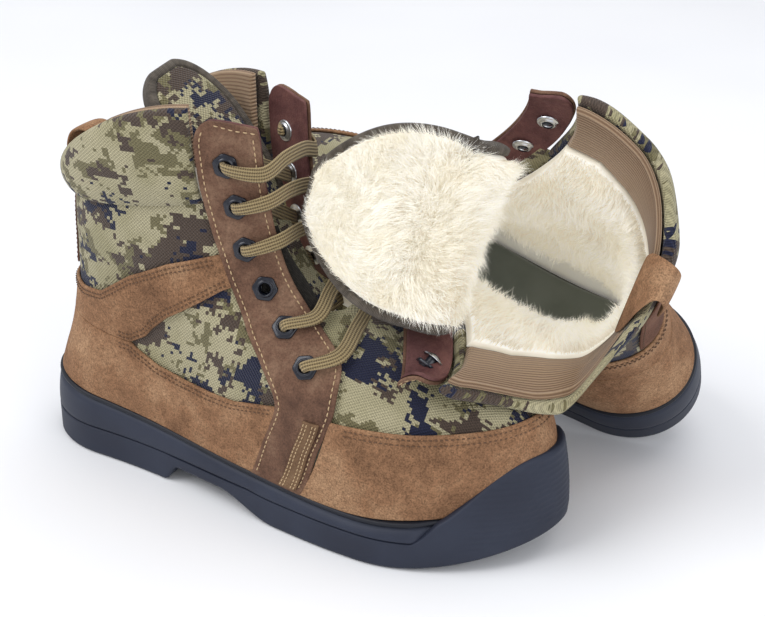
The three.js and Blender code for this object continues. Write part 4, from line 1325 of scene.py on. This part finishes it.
class Tongue:
    """A plate along a path. place(side, along, height) gives the point at that distance from the middle
    line, that fraction of the length and that height, minus bend times the square of the distance. An
    inside-out tongue has its heights h counted from the other face, as -4 - h."""

    def __init__(self, path, across, half, bend, cap, inside_out):
        """Runs the middle line and turns its cross frame along it."""
        self.line, self.length = curve_through(path, 400)
        self.tangent = unit(np.gradient(self.line, axis=0))
        w = np.linspace(0, 1, 400)
        wide = spline(np.array(across, float), w * (len(across) - 1))
        self.up = unit(np.cross(self.tangent, wide))
        self.cross = unit(np.cross(self.up, self.tangent))
        self.w, self.half_list, self.bend, self.cap, self.inside_out = w, half, bend, cap, inside_out

    def half(self, w):
        """Half width: the listed widths, times sqrt(1 - q^2) over the rounded end."""
        q = np.clip((w - 1 + self.cap / self.length) / (self.cap / self.length), 0, 1) * 0.96
        return spline(self.half_list, np.clip(w, 0, 1) * (len(self.half_list) - 1)) * np.sqrt(1 - q * q)

    def place(self, side, w, height):
        """Middle line plus side and height steps, and on past the end along its tangent."""
        pick = lambda a: np.stack([np.interp(w, self.w, a[:, k]) for k in range(3)], -1)
        height = -4 - np.asarray(height) if self.inside_out else np.asarray(height)
        height = height - self.bend * side * side
        past = np.maximum(w - 1, 0) * self.length
        return (pick(self.line) + pick(self.cross) * np.asarray(side)[..., None]
                + pick(self.up) * height[..., None] + self.tangent[-1] * past[..., None])

    def sheet(self, low, high, fine=1.5, swell=None):
        """Closed shell between two heights, rounded at its rim; swell adds height to the sheet at `low`."""
        n = int(self.length / fine)
        m = int(2 * max(self.half_list) / fine)
        uu, ww = np.meshgrid(steps(1.0, 1 / m, 0.02) * 2 - 1, steps(1.0, 1 / n, 0.008), indexing="ij")
        side = uu * self.half(ww)
        near = np.minimum(np.abs(1 - np.abs(uu)) * self.half(ww), (1 - ww) * self.length)
        lift = np.sqrt(np.clip(1 - (1 - np.clip(near / 1.5, 0, 1)) ** 2, 0, 1))
        middle = (low + high) / 2
        extra = swell(side, ww) if swell else 0.0
        a = self.place(side, ww, middle + (high - middle) * lift)
        b = self.place(side, ww, middle - (middle - low + extra) * lift)
        faces = np.vstack([grid_faces(*uu.shape), grid_faces(*uu.shape, uu.size)[:, ::-1]])
        flat = np.stack([side, ww * self.length, np.zeros_like(side)], -1).reshape(-1, 3)
        return np.vstack([a.reshape(-1, 3), b.reshape(-1, 3)]), faces, np.vstack([flat, flat])

    def rim(self, start, out, count):
        """Line along the edge, from one side over the end to the other, moved outward."""
        def outline(q):
            end = self.half(np.ones_like(q))
            k = np.minimum(q, 1 - q) / 0.45
            run = start + (1 - start) * np.sin(np.clip(k, 0, 1) * math.pi / 2)
            side = np.sign(0.5 - q) * self.half(run)
            flat = np.abs(q - 0.5) < 0.05
            return np.where(flat, end * (0.5 - q) / 0.05, side), np.where(flat, 1.0, run) * self.length
        q = np.linspace(0, 1, count)
        a0, b0 = outline(np.clip(q - 0.03, 0, 1))
        a1, b1 = outline(np.clip(q + 0.03, 0, 1))
        far = np.hypot(a1 - a0, b1 - b0)
        a, b = outline(q)
        side, run = a + out * (b1 - b0) / far, b + out * (a0 - a1) / far
        line = self.place(side, run / self.length, np.full(count, -2.0))
        over = self.place(side, run / self.length, np.full(count, -1.0))
        return line, over - line


def lumps(scale, depth, seed):
    """Soft lumps in sheepskin: products of two slow waves, never below zero."""
    rng = np.random.default_rng(seed)
    p = rng.uniform(0, 6, 4)

    def height(side, w):
        run = w * 170
        a = np.sin(side / scale + p[0]) * np.sin(run / scale + p[1])
        b = np.sin(side / scale * 1.9 + run / scale * 0.7 + p[2]) * np.sin(run / scale * 1.7 + p[3])
        return depth * (1 + 0.6 * a + 0.4 * b) / 2

    return height


# %% Sheepskin hair
def pile(name, surface, count, length, seed, body, lean=0.5, tuft=6.0, thick=0.34):
    """Hairs on a surface(u, w, height). Each is a tapered strip of three triangles that starts along the
    surface's normal, bends with slow waves of lean, and draws its tip towards the middle of its tuft."""
    rng = np.random.default_rng(seed)
    u, w = rng.random(count), rng.random(count)
    root = surface(u, w, np.zeros(count))
    normal = unit(surface(u, w, np.ones(count)) - root)
    ahead, back = (surface(np.clip(u + step, 0, 1), w, np.zeros(count)) for step in (0.01, -0.01))
    along_u = ahead - back
    along_u = unit(along_u - normal * np.einsum("ij,ij->i", along_u, normal)[:, None])
    along_w = np.cross(normal, along_u)
    cell = np.floor(root / tuft + rng.normal(0, 0.1, root.shape))
    mixed = (cell[:, 0] * 7385 + cell[:, 1] * 1934 + cell[:, 2] * 8349).astype(np.int64)
    shake = np.stack([mixed * k % 97 / 97 for k in (31, 57, 83)], -1)
    centre = (cell + 0.2 + 0.6 * shake) * tuft
    wave = np.sin(root @ np.array([[0.11, 0.07], [-0.08, 0.12], [0.1, -0.09]]) + (seed, 2 * seed))
    flow = along_u * wave[:, :1] + along_w * wave[:, 1:]
    flow = flow * lean + rng.normal(0, 0.16, root.shape)
    tall = length * rng.uniform(0.6, 1.15, count)[:, None] * (0.8 + 0.4 * shake[:, :1])
    middle = root + normal * tall * 0.55 + flow * tall * 0.3
    end = root + normal * tall * 0.85 + flow * tall * 0.95
    end += (centre - root - normal * np.einsum("ij,ij->i", centre - root, normal)[:, None]) * 0.45
    spin = rng.uniform(0, math.pi, count)
    cross = along_u * np.cos(spin)[:, None] + along_w * np.sin(spin)[:, None]
    half = cross * thick / 2
    points = np.stack([root - half, root + half, middle - half * 0.8, middle + half * 0.8, end], 1)
    points = points.reshape(-1, 3)
    one = np.array([[0, 1, 3], [0, 3, 2], [2, 3, 4]])
    faces = (one[None] + (np.arange(count) * 5)[:, None, None]).reshape(-1, 3)
    tone = rng.uniform(-0.15, 0.15, count)
    # Each hair's colour runs from root to tip; the darker roots are painted shade inside the pile.
    height = np.stack([np.full(count, 0.05), np.full(count, 0.05), 0.55 + tone, 0.55 + tone, 1.0 + tone], 1)
    flat = np.stack([np.repeat(u * 100, 5), np.repeat(w * 100, 5), height.ravel()], -1)
    piece = build(name, points, faces, fleece, flat)
    fit(piece, body)
    print(f"{name}: {count} hairs")
    return piece


def fleece_base(shape):
    """Flat coordinates whose third value says root colour, with its painted shade, for the skin under the hair.
    """
    points, faces, flat = shape
    flat = flat.copy()
    flat[:, 2] = 0.45
    return points, faces, flat


for foot, facts in TONGUES.items():
    tongue = Tongue(**facts)
    body = f"{foot}_tongue"
    points, faces, flat = tongue.sheet(0.0, 2.0)
    front = build(f"{foot}_tongue_shell_look", points, facing_out(points, faces), cloth, flat)
    fit(front, body, [f"{foot}_tongue_shell"])
    swell = lumps(9.0, 2.4 if foot == "left" else 0.6, 21)
    points, faces, flat = fleece_base(tongue.sheet(-6.0, -0.6, swell=swell))
    back = build(f"{foot}_tongue_fleece_look", points, facing_out(points, faces), fleece, flat)
    fit(back, body, [f"{foot}_tongue_fleece"])
    line, over = tongue.rim(0.45 if foot == "right" else 0.3, 2.4, 260)
    points, faces, flat = ribbon(line, unit(over), 9.0, 5.4, 8)
    rim = build(f"{foot}_tongue_binding_look", points, facing_out(points, faces), binding_tape, flat)
    fit(rim, body, [f"{foot}_tongue_binding"])

    def hair_bed(u, w, height, tongue=tongue, swell=swell):
        w = 0.04 + 0.96 * w
        side = (2 * u - 1) * tongue.half(w) * 0.96
        return tongue.place(side, w, -5.6 - swell(side, w) - height)

    if foot == "left":
        pile("left_tongue_hair", hair_bed, 65000, 9.5, 31, body, thick=0.3)
        pile("left_tongue_down", hair_bed, 65000, 7.5, 32, body, lean=0.35, tuft=4.0, thick=0.3)
    else:
        pile("right_tongue_hair", hair_bed, 26000, 5.5, 31, body)
    print(f"{foot} tongue: {tongue.length:.0f} mm long")

# %% [markdown]
# ## Sheepskin lining
# The same hair grows on the inside of both shafts, down to where the foot hides it.

# %% Lining hair
lining_patch = round_heel(BASE_ROW, CUFF_SEAM, rear_edge(-0.05))
for foot, pose in POSES.items():
    def wall_bed(u, w, height, pose=pose, foot=foot):
        w = 0.3 + 0.7 * w
        side, t, v = lining_patch(u, w)
        return pose(skin_out(side, t, v, -8.6 - height))

    pile(f"{foot}_lining_hair", wall_bed, 64000 if foot == "left" else 40000, 8.0, 41, f"{foot}_boot")


# %% Footbed
def footbed_shape():
    """The insole: a slab drawn in from the footprint, its rim rounded, its top slightly dished at the
    heel."""
    s, w = np.meshgrid(np.linspace(0.004, 0.996, 150), np.linspace(-1, 1, 61), indexing="ij")
    x0 = s * SOLE_LENGTH
    inset = 15 + 9 * smooth((x0 - 170) / 60)
    x = inset * (1 - 2 * s) + x0
    y = side_shift(x) + w * (half_width(s) - inset)
    near = np.minimum((1 - np.abs(w)) * (half_width(s) - inset), np.minimum(s, 1 - s) * SOLE_LENGTH)
    lift = np.sqrt(np.clip(1 - (1 - np.clip(near / 2.5, 0, 1)) ** 2, 0, 1))
    middle = feather(x) + 5.9
    dish = -1.2 * (1 - np.abs(w) ** 2) * (1 - smooth((x - 50) / 60))
    top = np.stack([x, y, middle + (3.1 + dish) * lift], -1).reshape(-1, 3)
    under = np.stack([x, y, middle - 3.1 * lift], -1).reshape(-1, 3)
    faces = np.vstack([grid_faces(*s.shape), grid_faces(*s.shape, s.size)[:, ::-1]])
    flat = np.stack([x, y, np.full_like(x, 0.6)], -1).reshape(-1, 3)
    return np.vstack([top, under]), faces, np.vstack([flat, flat])


both("footbed", felt, footbed_shape())

# %% [markdown]
# ## Lace
# The lace is one flat braid. It starts under the lowest outer eyelet, crosses over to the inner side, goes
# down through that hole, comes back below the facing and up through the next outer hole, and so on. After
# the top hole it makes a small loop and hangs down the inner side to the floor.

# %% Lace
LACE_HOLES = [(-1, 0), (1, 1), (-1, 1), (1, 2), (-1, 3), (1, 3), (-1, 4), (1, 4), (-1, 5), (1, 5)]
LACE_TAIL = [(0.118, 0.050, 0.186), (0.106, 0.056, 0.163), (0.097, 0.057, 0.120), (0.092, 0.057, 0.070),
             (0.089, 0.062, 0.022), (0.080, 0.068, 0.005), (0.062, 0.074, 0.003)]


def on_flap(side, hole, ahead):
    """Middle of the lace where it leaves a flap: on the front edge, level with a hole or a little above
    it."""
    front = locate(FACING_FRONT)
    v = locate(EYELETS)[1]
    at = np.interp(hole + ahead, np.arange(6), v)
    order = np.argsort(front[1])
    return skin_out(side, np.interp(at, front[1][order], front[0][order]), at, 5.4)


def lace_route():
    """Points of the lace with its width direction and how far it is gathered (0 flat, 1 in a hole)."""
    holes = {side: hole_frames(side, standing) for side in (-1, 1)}
    points, wide, gather = [], [], []

    def put(p, direction, tight=0.0):
        points.append(p)
        wide.append(direction)
        gather.append(tight)

    for n, (side, hole) in enumerate(LACE_HOLES):
        centre, axis, shaft = (a[hole] for a in holes[side])
        inward = np.cross(shaft, axis) * -side
        inward = unit(inward * np.sign(inward[1] * -side))
        upward = n % 2 == 0
        below = centre + axis * -3.0
        above = centre + axis * 6.6
        for p, tight in ((below, 1.0), (above, 0.8)) if upward else ((above, 0.8), (below, 1.0)):
            put(p, shaft, tight)
        if n + 1 < len(LACE_HOLES):
            other, next_hole = LACE_HOLES[n + 1]
            c2, a2, s2 = (a[next_hole] for a in holes[other])
            in2 = np.cross(s2, a2) * -other
            in2 = unit(in2 * np.sign(in2[1] * -other))
            if upward:
                first, last = on_flap(side, hole, 0.3), on_flap(other, next_hole, -0.1)
                put(first, shaft)
                put((first * 2 + last) / 3 + (3, 0, 4.5), unit(shaft * 2 + s2))
                put((first + last * 2) / 3 + (3, 0, 4.5), unit(shaft + s2 * 2))
            else:
                first, last = centre - axis * 4.5 + inward * 5, c2 - a2 * 4.5 + in2 * 5
                put(first, shaft)
                put((first + last) / 2, unit(shaft + s2))
            put(last, s2)
    return points, wide, gather


route, wide, gather = lace_route()
print("lace: first point", np.round(to_row(route[0]), 4))
route += [np.array(p) * 1000 for p in LACE_TAIL]
wide += [np.array([1.0, 0.1, 0.0])] * len(LACE_TAIL)
gather += [0.0] * len(LACE_TAIL)
knots = np.array(route)
count = 1100
lace_line, lace_length = curve_through(knots, count)
spans = np.linalg.norm(np.diff(knots, axis=0), axis=1)
where = np.concatenate([[0], np.cumsum(spans)]) / spans.sum()
f = np.linspace(0, 1, count)
lace_wide = np.stack([np.interp(f, where, np.array(wide)[:, k]) for k in range(3)], -1)
tight = np.interp(f, where, gather)
points, faces, flat = ribbon(lace_line, lace_wide, 7.8 - 3.4 * tight, 1.5 + 1.6 * tight, 6)
lace = build("right_lace_look", points, facing_out(points, faces), lace_braid, flat)
fit(lace, "right_boot", ["right_lace"])
print(f"lace: {lace_length:.0f} mm")

# %% [markdown]
# ## Parts kept from the solid model
# Shank, insole board, toe puff and heel stiffener are sealed inside. Their solids are right as they are and
# only need a finish.

# %% Inner parts
INNER = {"shank": blued_steel, "insole_board": fibre_board, "heel_stiffener": stiff_sheet,
         "toe_puff": stiff_sheet}
for foot in POSES:
    for part, finish in INNER.items():
        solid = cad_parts[f"{foot}_{part}"]
        solid.data.materials.clear()
        solid.data.materials.append(finish)
print("inner parts:", len(INNER) * 2)

# %% [markdown]
# ## Room and light
# A pale seamless floor, one large soft light high on the left, a weaker one on the right and a bright even
# surround, as in a small studio tent.

# %% Floor and lights
def floor():
    """A flat pale sheet under the boots, a hair below their tread."""
    m = Finish("pale_floor", roughness=0.7, specular=0.2)
    m.paint(m.ramp(m.noise(m.place(), 3, 2), [(0.3, colour(236, 237, 240)), (0.7, colour(242, 243, 245))]))
    mesh = bpy.data.meshes.new("floor")
    corners = [(-6, -6, -0.0005), (6, -6, -0.0005), (6, 6, -0.0005), (-6, 6, -0.0005)]
    mesh.from_pydata(corners, [], [(0, 1, 2, 3)])
    mesh.materials.append(m.material)
    sheet = bpy.data.objects.new("floor", mesh)
    bpy.context.scene.collection.objects.link(sheet)


def softbox(name, place, size, watts, tone=(1, 1, 1)):
    """A square area light that looks at the middle of the boots."""
    data = bpy.data.lights.new(name, "AREA")
    data.energy = watts
    data.size = size
    data.color = tone
    lamp = bpy.data.objects.new(name, data)
    bpy.context.scene.collection.objects.link(lamp)
    lamp.location = place
    lamp.rotation_euler = (Vector((0, 0, 0.08)) - Vector(place)).to_track_quat("-Z", "Y").to_euler()


floor()
softbox("key", (-0.9, -1.0, 1.5), 1.2, 19)
softbox("fill", (1.5, -0.8, 0.9), 1.2, 10, (0.98, 0.99, 1))
softbox("top", (0.2, 0.6, 1.8), 1.5, 11)
world = bpy.data.worlds.new("surround")
world.use_nodes = True
world.node_tree.nodes["Background"].inputs[0].default_value = (0.955, 0.965, 1.0, 1)
world.node_tree.nodes["Background"].inputs[1].default_value = 0.65
bpy.context.scene.world = world
bpy.context.scene.view_settings.view_transform = "Standard"
print("pieces made:", len(made))

# %% End
bpy.context.view_layer.update()
